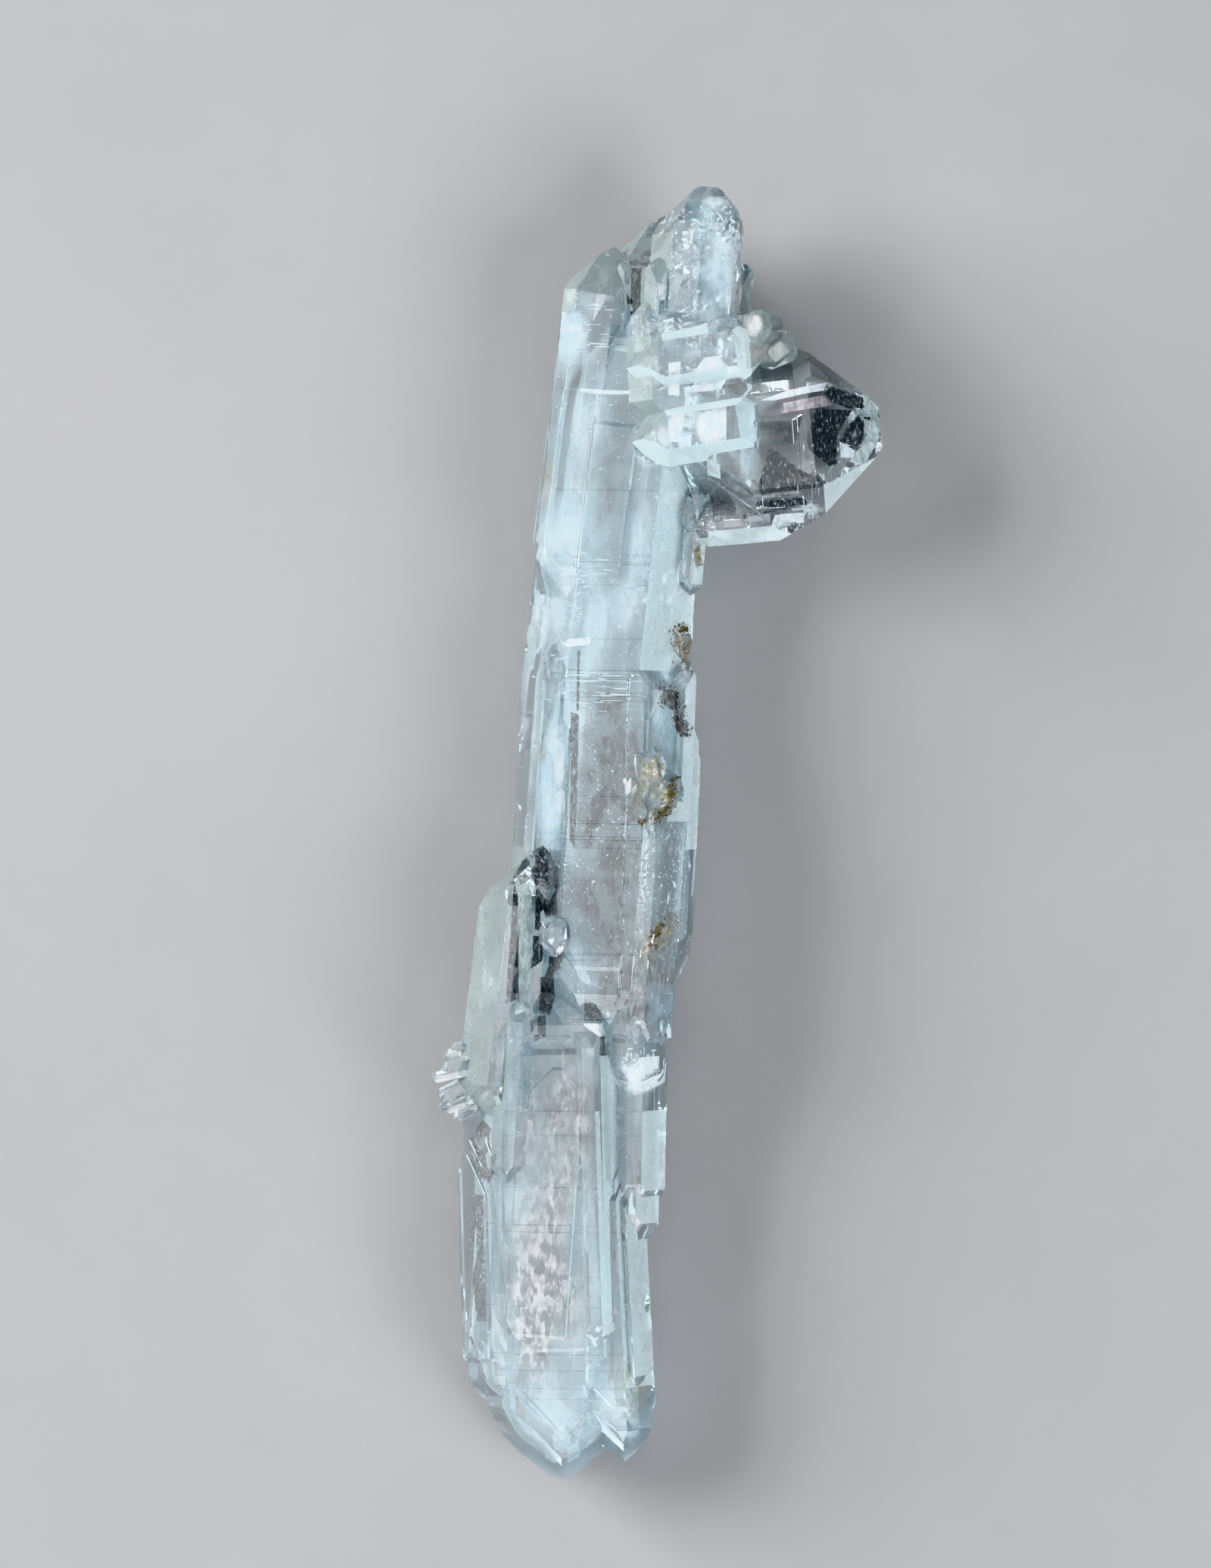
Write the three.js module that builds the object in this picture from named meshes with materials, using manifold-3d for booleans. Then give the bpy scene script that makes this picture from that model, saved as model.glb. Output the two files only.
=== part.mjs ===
// A faden quartz specimen, in millimetres: many slender quartz crystals that grew side by side with their
// c-axes nearly parallel, and a short side group that grew across them at the upper end. It is all one
// piece of quartz. It lies on its flat back. +Y runs along the specimen to its upper end, +X is its right
// side seen from the front, +Z points up, out of its front. The origin is under the middle of its outline,
// on the surface it rests on.
import * as THREE from "three";
import { mergeVertices } from "three/addons/utils/BufferGeometryUtils.js";
import Module from "manifold-3d";

const wasm = await Module();
wasm.setup();

// The driving sizes of the specimen.
const BODY_DEPTH = 9.8; // the main body, from its flat back to its front
const LAYER = 0.32; // thickness of one growth layer on a prism face
const LAYER_SETBACK = 1.1; // how far a growth layer stops short of the tip under it
const TIP_RELIEF = 0.5; // how far the three lesser tip faces stand back from the apex

// Quartz angles: prism faces stand 60 degrees apart round the c-axis, and the normals of the tip faces lean
// 51.8 degrees away from it.
const FACE_TURN = THREE.MathUtils.degToRad(60);
const TIP_LEAN = THREE.MathUtils.degToRad(51.8);
const FACES = [0, 1, 2, 3, 4, 5];

// A small repeatable random generator, so that chips and lumps fall in the same places each time.
function randomFrom(seed) {
  let state = seed;
  return (low, high) => {
    state = (state * 1664525 + 1013904223) % 4294967296;
    return low + ((high - low) * state) / 4294967296;
  };
}

// A closed three.js geometry, placed by a matrix, as a solid that can be joined and cut.
function solidOf(geometry, matrix) {
  const bare = geometry.clone().applyMatrix4(matrix);
  bare.deleteAttribute("normal");
  bare.deleteAttribute("uv");
  const merged = mergeVertices(bare, 1e-4);
  return new wasm.Manifold(
    new wasm.Mesh({
      numProp: 3,
      vertProperties: merged.attributes.position.array,
      triVerts: new Uint32Array(merged.index.array),
    }),
  );
}

// The six prism faces of a crystal whose c-axis is the local Y axis. left, right, front and back are
// distances from that axis, and ridge is the height of the left and right edges above it.
function prismFaces({ left, right, front, back, ridge }) {
  return FACES.map((k) => {
    const turn = FACE_TURN * (k + 0.5);
    const normal = new THREE.Vector3(Math.cos(turn), 0, Math.sin(turn));
    const edge = new THREE.Vector3(normal.x > 0 ? right : -left, 0, ridge);
    const distances = { 1: front, 4: back };
    return new THREE.Plane(normal, -(distances[k] ?? normal.dot(edge)));
  });
}

// The six faces that close one end of a crystal. Three of them meet at the apex, and the other three stand
// back. end is 1 for the head and -1 for the foot, and major is 0 or 1 for which set of three reaches the
// apex.
function tipFaces(apexY, end, major, relief) {
  return FACES.map((k) => {
    const turn = FACE_TURN * (k + 0.5);
    const normal = new THREE.Vector3(
      Math.cos(turn) * Math.sin(TIP_LEAN),
      end * Math.cos(TIP_LEAN),
      Math.sin(turn) * Math.sin(TIP_LEAN),
    );
    const apex = new THREE.Vector3(0, apexY, 0);
    const stoodBack = k % 2 === major ? 0 : relief;
    return new THREE.Plane(normal, -(normal.dot(apex) + stoodBack));
  });
}

// One quartz crystal. foot and head are the apexes of its two ends seen from the front, and z is the height
// of its axis at the foot. lean tips the head up from the resting plane, and roll turns the crystal round
// its own axis. layers is how many thinner, shorter growth layers coat it, which makes uneven terraces
// round both ends. blunt and heel are how far the head and the foot are cut back square, and major picks
// the three leading faces of the head.
function crystal(spec, index) {
  const { foot, head, z, lean = 0, roll = 0, layers = 0, blunt = 0, heel = 0, major = 1 } = spec;
  const { left, right, front, back, ridge = 0, relief = TIP_RELIEF } = spec;
  const random = randomFrom(index + 11);
  const across = head[0] - foot[0];
  const along = head[1] - foot[1];
  const length = Math.hypot(across, along);
  const matrix = new THREE.Matrix4()
    .makeTranslation(foot[0], foot[1], z)
    .multiply(new THREE.Matrix4().makeRotationZ(-Math.atan2(across, along)))
    .multiply(new THREE.Matrix4().makeRotationX(THREE.MathUtils.degToRad(lean)))
    .multiply(new THREE.Matrix4().makeRotationY(THREE.MathUtils.degToRad(roll)));
  const reach = 4 * Math.max(left, right, front, back);
  const block = new THREE.BoxGeometry(reach, length + reach, reach).translate(0, length / 2, 0);
  let whole = null;
  for (let layer = 0; layer <= layers; layer++) {
    const under = layers - layer;
    const thinned = (size) => size - under * LAYER * random(0.5, 1.4);
    const setback = (end) => layer * LAYER_SETBACK * random(0.4, 1.7) * end;
    const headY = length - setback(1);
    const footY = setback(1.3);
    const faces = [
      ...prismFaces({
        left: thinned(left),
        right: thinned(right),
        front: thinned(front),
        back: under ? thinned(back) : back,
        ridge,
      }),
      ...tipFaces(headY, 1, major, relief),
      ...tipFaces(footY, -1, 1 - major, relief),
    ];
    if (blunt) faces.push(new THREE.Plane(new THREE.Vector3(0, 1, 0), blunt - headY));
    if (heel) faces.push(new THREE.Plane(new THREE.Vector3(0, -1, 0), heel + footY));
    let body = solidOf(block, matrix);
    for (const face of faces) {
      const placed = face.applyMatrix4(matrix);
      const kept = placed.normal.clone().negate();
      body = body.trimByPlane([kept.x, kept.y, kept.z], placed.constant);
    }
    whole = whole ? whole.add(body) : body;
  }
  return whole;
}

// A rounded, uneven lump at a point, to add as a knob or to take away as a pit or a chip.
function lump([x, y, z], [sizeX, sizeY, sizeZ], turn, seed) {
  const random = randomFrom(seed);
  const ball = new THREE.IcosahedronGeometry(1, 1);
  ball.deleteAttribute("normal");
  ball.deleteAttribute("uv");
  const uneven = mergeVertices(ball, 1e-4);
  const points = uneven.attributes.position;
  for (let i = 0; i < points.count; i++) {
    const swell = random(0.78, 1.12);
    points.setXYZ(i, points.getX(i) * swell, points.getY(i) * swell, points.getZ(i) * swell);
  }
  const matrix = new THREE.Matrix4()
    .makeTranslation(x, y, z)
    .multiply(new THREE.Matrix4().makeRotationZ(THREE.MathUtils.degToRad(turn)))
    .multiply(new THREE.Matrix4().makeScale(sizeX / 2, sizeY / 2, sizeZ / 2));
  return solidOf(uneven, matrix);
}

// The long crystals of the main body. Their backs share the resting plane, and they fan by a few degrees,
// which gives the whole specimen its slow bend.
const half = BODY_DEPTH / 2;
const bodyCrystals = [
  // the broad upper crystal, under everything at the upper end
  {
    foot: [-1.5, -3.0], head: [3.2, 39.2], z: half,
    left: 6.0, right: 6.2, front: half, back: half, ridge: -1.0, layers: 1,
  },
  // the broad crystal that carries on from it down to the middle
  {
    foot: [-0.6, -20.8], head: [0.9, 12.4], z: half,
    left: 7.1, right: 6.9, front: half, back: half, ridge: -2.2, layers: 1,
  },
  // the broad lower crystal
  {
    foot: [-3.2, -49.4], head: [-3.9, -12.8], z: 4.6,
    left: 7.1, right: 6.4, front: 4.5, back: 4.6, ridge: -0.6, layers: 2,
  },
  // three crystals that end the lower body side by side, at uneven lengths
  {
    foot: [1.5, -51.4], head: [0.2, -25.4], z: 4.4,
    left: 4.6, right: 2.6, front: 3.9, back: 3.9, relief: 1.1, layers: 1,
  },
  {
    foot: [-3.2, -53.1], head: [-3.7, -26.5], z: 4.6,
    left: 5.9, right: 4.6, front: 4.3, back: 4.6, relief: 1.5, heel: 0.6, layers: 2,
  },
  {
    foot: [-7.7, -47.6], head: [-8.4, -25.4], z: 4.4,
    left: 2.9, right: 3.6, front: 3.7, back: 3.8, relief: 0.9, heel: 0.4, layers: 1,
  },
];

const topCrystals = [
  // the left shoulder, with its long slope down to the left edge
  {
    foot: [-2.8, 12.5], head: [0.8, 40.6], z: 6.8,
    left: 3.35, right: 1.2, front: 2.9, back: 3.4, ridge: 1.3, layers: 1,
  },
  // the next step up, set back behind the top crystal
  {
    foot: [2.4, 23.8], head: [4.6, 43.2], z: 4.8,
    left: 3.9, right: 2.6, front: 2.9, back: 3.4, ridge: 0.6, layers: 1,
  },
  // the top crystal, and a second one grown with it that fills out its shoulders
  {
    foot: [6.4, 24.9], head: [7.9, 45.5], z: 9.2,
    left: 4.0, right: 2.7, front: 2.7, back: 4.4, blunt: 0.5, lean: -2,
  },
  {
    foot: [6.9, 24.9], head: [8.3, 44.6], z: 8.9,
    left: 3.2, right: 2.5, front: 2.7, back: 3.6, blunt: 0.6, roll: 17,
  },
  // two ribs on its left side, each with a small bright end
  { foot: [3.5, 27.6], head: [4.1, 39.6], z: 10.4, left: 1.0, right: 1.1, front: 1.6, back: 3.0 },
  { foot: [1.4, 28.0], head: [1.5, 39.6], z: 8.4, left: 0.5, right: 0.5, front: 0.9, back: 2.0 },
  // the swelling below it, which the side group grows over
  { foot: [5.0, 25.4], head: [4.6, 37.9], z: 9.6, left: 3.1, right: 3.3, front: 2.6, back: 3.4, roll: 6 },
  // a small dark crystal that looks out behind its right edge
  { foot: [10.0, 32.3], head: [10.7, 39.6], z: 4.4, left: 1.4, right: 0.75, front: 1.4, back: 1.4 },
];

// The side group. Its c-axes lie some 5 to 9 degrees above square to the long crystals.
const sideCrystals = [
  // the big clear crystal that points right, and a second one grown with it that bevels its end
  {
    foot: [3.4, 25.2], head: [21.9, 27.1], z: 6.6,
    left: 6.9, right: 6.8, front: 5.0, back: 5.6, blunt: 1.1, relief: 1.0, lean: 1,
  },
  {
    foot: [4.4, 24.9], head: [20.9, 25.8], z: 6.4,
    left: 6.2, right: 6.4, front: 5.2, back: 5.2, blunt: 0.9, roll: 14,
  },
  // two smaller ones in front, whose ends point left
  { foot: [12.4, 32.9], head: [1.6, 31.2], z: 11.2, left: 2.4, right: 2.7, front: 2.1, back: 3.0, major: 0 },
  { foot: [12.6, 27.4], head: [2.0, 25.7], z: 11.0, left: 2.3, right: 2.6, front: 2.1, back: 3.0, major: 0 },
  // a low one between them, and a slip of one along the lower edge
  { foot: [12.0, 30.0], head: [3.4, 28.6], z: 10.4, left: 1.7, right: 1.7, front: 1.7, back: 2.2 },
  { foot: [6.0, 19.4], head: [14.9, 20.2], z: 7.2, left: 1.7, right: 1.6, front: 1.9, back: 2.4, blunt: 0.5 },
];

// Crystals that grew on the front and sides of the body.
const frontCrystals = [
  // the lower left crystal, with its long slope, and the rib down its front
  {
    foot: [-7.5, -26.9], head: [-4.9, -4.9], z: 7.2,
    left: 4.1, right: 1.5, front: 3.4, back: 4.2, ridge: -0.6,
  },
  { foot: [-8.3, -22.0], head: [-6.0, -6.6], z: 9.4, left: 0.6, right: 0.6, front: 1.6, back: 1.4 },
  // the right front crystal, which ends in a bright foot at mid length
  { foot: [2.2, -23.8], head: [4.1, 2.1], z: 7.2, left: 2.5, right: 2.5, front: 3.8, back: 3.4, layers: 1 },
  // the right edge crystal below it
  { foot: [2.0, -35.4], head: [2.4, -15.1], z: 5.0, left: 2.3, right: 2.5, front: 3.2, back: 3.0, layers: 1 },
  // the slender clear crystal down the lower front, and a lower one beside it
  { foot: [-0.6, -42.7], head: [-1.4, -17.7], z: 8.1, left: 1.3, right: 1.4, front: 1.6, back: 2.2 },
  { foot: [2.3, -45.6], head: [1.4, -30.0], z: 6.7, left: 0.9, right: 0.9, front: 1.5, back: 1.5 },
  // low ribs on the lower front
  {
    foot: [-5.0, -44.0], head: [-3.3, -19.6], z: 7.2,
    left: 3.4, right: 2.6, front: 2.1, back: 2.2, ridge: 0.8, major: 0,
  },
  { foot: [-9.2, -43.0], head: [-8.1, -26.0], z: 6.7, left: 1.2, right: 1.1, front: 1.5, back: 1.6 },
  // low ribs left and right of the middle
  {
    foot: [-4.2, -9.1], head: [-2.7, 11.3], z: 7.6,
    left: 2.3, right: 1.8, front: 2.5, back: 2.4, roll: -14, layers: 1,
  },
  { foot: [1.9, -17.5], head: [2.5, 9.6], z: 8.5, left: 1.5, right: 1.5, front: 1.6, back: 2.4, major: 0 },
  // growth plates over the upper front, each cut off below in a bright ledge
  {
    foot: [-1.2, 24.6], head: [0.8, 40.7], z: 6.9,
    left: 3.4, right: 1.5, front: 3.1, back: 3.2, ridge: 1.3, heel: 4.9,
  },
  {
    foot: [-1.2, 8.0], head: [1.9, 33.0], z: 5.2,
    left: 5.0, right: 4.4, front: 4.85, back: 4.0, ridge: -0.6, heel: 8.2,
  },
  {
    foot: [-0.9, 3.0], head: [0.5, 14.0], z: 5.1,
    left: 6.4, right: 3.2, front: 4.95, back: 4.0, ridge: -0.4, heel: 5.2,
  },
  // small ones on the right edge under the side group
  { foot: [6.5, 14.3], head: [7.3, 22.6], z: 6.4, left: 1.0, right: 0.8, front: 1.4, back: 1.8 },
  { foot: [5.5, -12.0], head: [6.3, 9.0], z: 5.6, left: 1.0, right: 0.7, front: 1.9, back: 1.8 },
  // a small stub on the lower left crystal, and a slim crystal that starts on it and runs on below
  {
    foot: [-3.6, -12.9], head: [-3.9, -9.4], z: 10.2,
    left: 1.2, right: 1.2, front: 1.0, back: 1.6, blunt: 0.5,
  },
  {
    foot: [-7.4, -30.0], head: [-6.4, -15.8], z: 9.2,
    left: 1.3, right: 1.3, front: 1.5, back: 1.6, blunt: 0.4, lean: 2,
  },
];

// Crystals on the back. They stay above the resting plane.
const backCrystals = [
  { foot: [3.8, -8.0], head: [5.4, 20.0], z: 3.5, left: 2.1, right: 1.8, front: 2.0, back: 2.7, roll: -8 },
  { foot: [-5.4, -14.0], head: [-4.1, 6.0], z: 3.6, left: 2.0, right: 1.6, front: 2.0, back: 2.7, roll: 7 },
  {
    foot: [-7.6, -44.0], head: [-7.0, -18.0], z: 3.6,
    left: 2.6, right: 2.0, front: 2.0, back: 3.0, roll: -3,
  },
  { foot: [0.4, -40.0], head: [1.4, -16.0], z: 3.5, left: 2.2, right: 2.2, front: 2.0, back: 2.7, roll: 5 },
  { foot: [6.8, 21.0], head: [8.4, 40.2], z: 4.2, left: 2.6, right: 2.2, front: 2.4, back: 2.6, roll: -6 },
];

// The fan of needles on the lower left edge: each is a slim crystal that points left and a little down.
const FAN_CENTRE = [-9.6, -22.0];
const FAN_NEEDLES = 9;
function fanNeedles() {
  const random = randomFrom(31);
  const needles = [];
  for (let i = 0; i < FAN_NEEDLES; i++) {
    const share = i / (FAN_NEEDLES - 1);
    const width = random(0.32, 0.55);
    const footY = FAN_CENTRE[1] + 2.5 - 4.8 * share;
    const turn = THREE.MathUtils.degToRad(196 + 10 * share + random(-8, 8));
    const reach = random(2.0, 2.6) + 1.2 * Math.sin(Math.PI * share);
    needles.push({
      foot: [FAN_CENTRE[0] + 0.2, footY],
      head: [FAN_CENTRE[0] + reach * Math.cos(turn), footY + reach * Math.sin(turn)],
      z: 6.2 + random(-1.3, 1.3),
      left: width,
      right: width,
      front: width,
      back: width,
      lean: random(-8, 8),
      roll: random(0, 60),
      relief: 0.1,
    });
  }
  return needles;
}

// The jumble of small crystals in the corner between the top crystal and the side group.
const CORNER_FOOT = [10.6, 32.0];
const CORNER_CRYSTALS = 9;
function cornerCrystals() {
  const random = randomFrom(77);
  const found = [];
  for (let i = 0; i < CORNER_CRYSTALS; i++) {
    const turn = THREE.MathUtils.degToRad(20 + (i * 90) / CORNER_CRYSTALS + random(-8, 8));
    const reach = random(3.2, 4.3);
    const size = random(0.9, 1.4);
    const foot = [CORNER_FOOT[0] + random(-0.6, 0.6), CORNER_FOOT[1] + random(-0.6, 0.6)];
    found.push({
      foot,
      head: [foot[0] + reach * Math.cos(turn), foot[1] + reach * Math.sin(turn)],
      z: random(6.0, 11.8),
      left: size,
      right: size,
      front: size,
      back: size,
      lean: random(-12, 12),
      roll: random(0, 60),
      relief: 0.2,
      blunt: random(0.2, 0.6),
    });
  }
  return found;
}

// Knobs of the stained, uneven plate on the right of the front: place, size and turn of each.
const knobs = [
  { at: [3.1, 1.2, 9.6], size: [3.2, 3.6, 1.7], turn: 10 },
  { at: [4.1, -0.9, 9.5], size: [3.0, 3.4, 1.8], turn: -25 },
  { at: [3.0, -2.4, 9.6], size: [2.2, 2.4, 1.4], turn: 30 },
  { at: [2.0, -0.4, 9.6], size: [1.8, 3.4, 1.3], turn: 0 },
];

// Hollows in the front where brown crust sits: the place seen from the front, the size and the turn of each.
const pits = [
  { at: [6.2, 10.3], size: [2.3, 3.2, 1.8], turn: 25 },
  { at: [7.0, 17.3], size: [0.9, 2.0, 1.0], turn: 5 },
  { at: [5.0, 6.6], size: [1.6, 2.4, 1.1], turn: 30 },
  { at: [5.8, 4.4], size: [1.4, 2.0, 1.0], turn: 35 },
  { at: [3.9, -0.9], size: [2.0, 2.8, 1.1], turn: -20 },
  { at: [4.0, -11.4], size: [1.4, 3.2, 1.1], turn: -38 },
];

const GAZE = 60; // far enough out to look at the specimen from

// The point where a line of sight first meets the solid.
function firstPoint(solid, from, direction) {
  const eye = new THREE.Raycaster(from, direction);
  const hits = eye.intersectObject(new THREE.Mesh(geometryOf(solid), new THREE.MeshBasicMaterial()));
  return hits.length ? hits[0].point : null;
}

// Chips out of the left and right outline, spread along the specimen.
const CHIPS = 30;
const CHIP_OUT = 0.15; // how far a chip's middle lies outside the outline
function chips(solid) {
  const random = randomFrom(5);
  const cuts = [];
  for (let i = 0; i < CHIPS; i++) {
    const side = i % 2 ? 1 : -1;
    const y = 40 - (88 * (i + random(0, 1))) / CHIPS;
    const z = random(3.2, 5.2);
    const found = firstPoint(solid, new THREE.Vector3(side * GAZE, y, z), new THREE.Vector3(-side, 0, 0));
    const size = random(0.45, 0.95);
    if (!found) continue;
    const middle = [found.x + side * CHIP_OUT, y, z];
    cuts.push(lump(middle, [size, size * random(1, 2), size], random(-30, 30), i + 100));
  }
  return cuts;
}

// A solid as a three.js geometry.
function geometryOf(solid) {
  const made = solid.getMesh();
  const geometry = new THREE.BufferGeometry();
  geometry.setAttribute("position", new THREE.BufferAttribute(made.vertProperties, 3));
  geometry.setIndex(new THREE.BufferAttribute(made.triVerts, 1));
  return geometry;
}

// Everything above, joined into one solid.
function specimen() {
  const grown = [
    ...bodyCrystals,
    ...topCrystals,
    ...sideCrystals,
    ...frontCrystals,
    ...backCrystals,
    ...fanNeedles(),
    ...cornerCrystals(),
  ];
  const lumps = knobs.map((knob, i) => lump(knob.at, knob.size, knob.turn, i + 40));
  const joined = [...grown.map(crystal), ...lumps].reduce((sum, next) => sum.add(next));
  let whole = joined;
  for (const [i, pit] of pits.entries()) {
    const down = new THREE.Vector3(0, 0, -1);
    const { z } = firstPoint(joined, new THREE.Vector3(pit.at[0], pit.at[1], GAZE), down);
    whole = whole.subtract(lump([...pit.at, z], pit.size, pit.turn, i + 1));
  }
  for (const chip of chips(joined)) whole = whole.subtract(chip);
  // Only the outer skin is kept, so no bubble is left inside.
  const [outer] = whole.decompose().sort((a, b) => b.volume() - a.volume());
  return geometryOf(outer);
}

const clearQuartz = new THREE.MeshStandardMaterial({
  color: 0xdce9ef,
  roughness: 0.12,
  metalness: 0,
  transparent: true,
  opacity: 0.55,
  flatShading: true,
});

const quartz = new THREE.Mesh(specimen(), clearQuartz);
quartz.name = "faden_quartz_crystal";
quartz.geometry.computeBoundingBox();
const box = quartz.geometry.boundingBox;
quartz.position.set(-(box.min.x + box.max.x) / 2, -(box.min.y + box.max.y) / 2, -box.min.z);

const group = new THREE.Group();
group.add(quartz);

export default group;
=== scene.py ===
# %% [markdown]
# A faden quartz specimen, lying on its flat back. On the real object everything is one piece of quartz:
# slender crystals side by side, veils of tiny bubbles inside, and brown crust in its pits. The measured
# solid is packed as a fixed frame, so this script only adds the finish: nothing is moved or resized.

# %% Load the fixed frame
import bisect
import math
import random

import bmesh
import bpy
from mathutils import Matrix, Vector, noise
from mathutils.bvhtree import BVHTree


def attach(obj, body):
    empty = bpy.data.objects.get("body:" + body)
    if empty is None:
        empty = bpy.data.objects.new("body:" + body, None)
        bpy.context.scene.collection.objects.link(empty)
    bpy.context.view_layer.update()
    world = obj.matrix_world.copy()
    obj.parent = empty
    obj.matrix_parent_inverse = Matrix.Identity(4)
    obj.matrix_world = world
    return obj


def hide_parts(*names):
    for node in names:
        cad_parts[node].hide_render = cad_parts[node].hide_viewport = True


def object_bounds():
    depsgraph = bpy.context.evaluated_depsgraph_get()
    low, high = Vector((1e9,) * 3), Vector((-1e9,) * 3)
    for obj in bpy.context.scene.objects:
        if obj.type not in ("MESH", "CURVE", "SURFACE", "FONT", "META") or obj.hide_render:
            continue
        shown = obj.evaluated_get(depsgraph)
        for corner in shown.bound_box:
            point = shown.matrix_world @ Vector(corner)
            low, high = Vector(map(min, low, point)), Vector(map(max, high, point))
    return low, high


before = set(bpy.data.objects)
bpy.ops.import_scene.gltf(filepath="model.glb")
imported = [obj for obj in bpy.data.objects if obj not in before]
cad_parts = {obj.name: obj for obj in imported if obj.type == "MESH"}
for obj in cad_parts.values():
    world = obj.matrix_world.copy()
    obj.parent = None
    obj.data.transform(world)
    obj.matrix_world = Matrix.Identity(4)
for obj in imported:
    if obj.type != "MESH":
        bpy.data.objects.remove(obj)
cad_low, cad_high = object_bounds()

MM = 0.001
print("specimen, mm:", [round(side / MM, 1) for side in cad_high - cad_low])

# %% [markdown]
# Every place on the front is given in millimetres from the middle of the picture, as a plan. The picture's
# middle is tied to the specimen by its two outermost points: the upper apex and the end of the side group.

# %% The plan
APEX_UP = 44.97 * MM  # the upper apex above the middle of the picture
SIDE_END = 20.86 * MM  # the end of the side group right of the middle
PLAN_ORIGIN = Vector((cad_high.x - SIDE_END, cad_high.y - APEX_UP, 0))


def spot(x, y, z=0.0):
    """A place on the plan, in millimetres, as a point of the frame, in metres."""
    return PLAN_ORIGIN + Vector((x, y, z)) * MM


# %% [markdown]
# The camera looks straight down on the front, because the specimen lies on its back. A long lens from some
# way off keeps the near and far faces at one scale, as a close-up from half a metre does.

# %% The camera
PICTURE_HEIGHT = 2072  # pixels
PIXELS_PER_MM = 17.5
LENS = 150  # millimetres, and the sensor too
SENSOR = 36
FOCUS_HEIGHT = 7 * MM


def make_camera():
    seen = PICTURE_HEIGHT / PIXELS_PER_MM * MM
    data = bpy.data.cameras.new("camera")
    data.sensor_fit = "VERTICAL"
    data.sensor_height = SENSOR
    data.lens = LENS
    data.clip_start = 0.01
    camera = bpy.data.objects.new("camera", data)
    camera.location = spot(0, 0) + Vector((0, 0, FOCUS_HEIGHT + seen * LENS / SENSOR))
    bpy.context.scene.collection.objects.link(camera)
    bpy.context.scene.camera = camera
    return camera


camera = make_camera()
print("camera height, mm:", round(camera.location.z / MM))

# %% [markdown]
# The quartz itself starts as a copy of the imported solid. The copy is loose triangles, so its points are
# merged first and flat triangles are joined back into whole crystal faces. Its edges then get a hair-thin
# bevel, which is what catches the light along the real edges.

# %% The quartz's faces and edges
MERGE_DISTANCE = 0.02 * MM
FLAT_ANGLE = math.radians(0.5)  # triangles that meet more gently than this are one crystal face
EDGE_WIDTH = 0.07 * MM
SHARP_ANGLE = math.radians(24)  # sharper edges than this get a bevel


def quartz_faces(node):
    shape = bmesh.new()
    shape.from_mesh(node.data)
    bmesh.ops.remove_doubles(shape, verts=shape.verts, dist=MERGE_DISTANCE)
    bmesh.ops.dissolve_degenerate(shape, edges=shape.edges, dist=MERGE_DISTANCE)
    bmesh.ops.dissolve_limit(
        shape,
        angle_limit=FLAT_ANGLE,
        verts=shape.verts,
        edges=shape.edges,
        use_dissolve_boundaries=False,
    )
    return shape


def bevel_edges(shape):
    sharp = [e for e in shape.edges if e.is_manifold and e.calc_face_angle(0) > SHARP_ANGLE]
    bmesh.ops.bevel(
        shape,
        geom=sharp,
        offset=EDGE_WIDTH,
        offset_type="OFFSET",
        affect="EDGES",
        segments=1,
        profile=0.5,
        material=-1,
        clamp_overlap=True,
    )


quartz_shape = quartz_faces(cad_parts["faden_quartz_crystal"])
print("whole crystal faces:", len(quartz_shape.faces))
bevel_edges(quartz_shape)
print("faces with bevels:", len(quartz_shape.faces))

# %% [markdown]
# Quartz grows in steps across its long axis, so its faces carry fine level lines. Pairs of cuts a hair
# apart mark out narrow bands, and each band is then sunk by about a hundredth of a millimetre, or by a few
# where the lines are strong: deep enough to draw a line of light, and too shallow to tilt the face. The
# side group grew across the rest, so its lines run the other way.

# %% Growth steps
STEP_RISE = 0.012 * MM  # how deep a band is sunk, on average
STEP_SLOPE = 0.06 * MM  # the width of the slope between two bands
LONG_AXIS = Vector((0.015, 1, 0)).normalized()
SIDE_AXIS = Vector((1, 0.09, 0)).normalized()
SIDE_GROUP_LEFT = 8.2  # the side group lies right of this line on the plan
SIDE_GROUP_LOW, SIDE_GROUP_HIGH = 17.5, 34.5
FRONT_FACE_LOW = 8 * MM
FRONT_FACE_REACH = 4 * MM
RESTING_SKIN = 0.05 * MM  # what lies lower than this rests on the floor and stays flat


def in_side_group(point):
    place = (point - PLAN_ORIGIN) / MM
    return place.x > SIDE_GROUP_LEFT and SIDE_GROUP_LOW < place.y < SIDE_GROUP_HIGH


def on_the_body(point):
    return not in_side_group(point)


def on_front_face(point):
    return point.z > FRONT_FACE_LOW and abs((point - PLAN_ORIGIN).x) < FRONT_FACE_REACH


def growth_steps(shape, axis, count, low, high, belongs, drawn, rise=STEP_RISE):
    """Sinks bands of random width along an axis, between low and high, wherever belongs says yes."""
    levels = sorted(drawn.uniform(low, high) for _ in range(count))
    rises = [0.0] + [drawn.uniform(-2 * rise, 0) for _ in range(count - 1)] + [0.0]
    for level in levels:
        for side in (0, STEP_SLOPE):
            bmesh.ops.bisect_plane(
                shape,
                geom=shape.verts[:] + shape.edges[:] + shape.faces[:],
                dist=0.001 * MM,
                plane_co=axis * (level + side),
                plane_no=axis,
            )
    shape.normal_update()
    moves = []
    for v in shape.verts:
        if v.co.z > RESTING_SKIN and belongs(v.co):
            band = bisect.bisect(levels, v.co.dot(axis) - STEP_SLOPE / 2)
            moves.append((v, v.normal * rises[band]))
    for v, move in moves:
        v.co += move


# %% [markdown]
# The body and the side group get their own bands, at random levels. The photographed front also has three
# places with many strong lines, so those are given on the plan.

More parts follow.
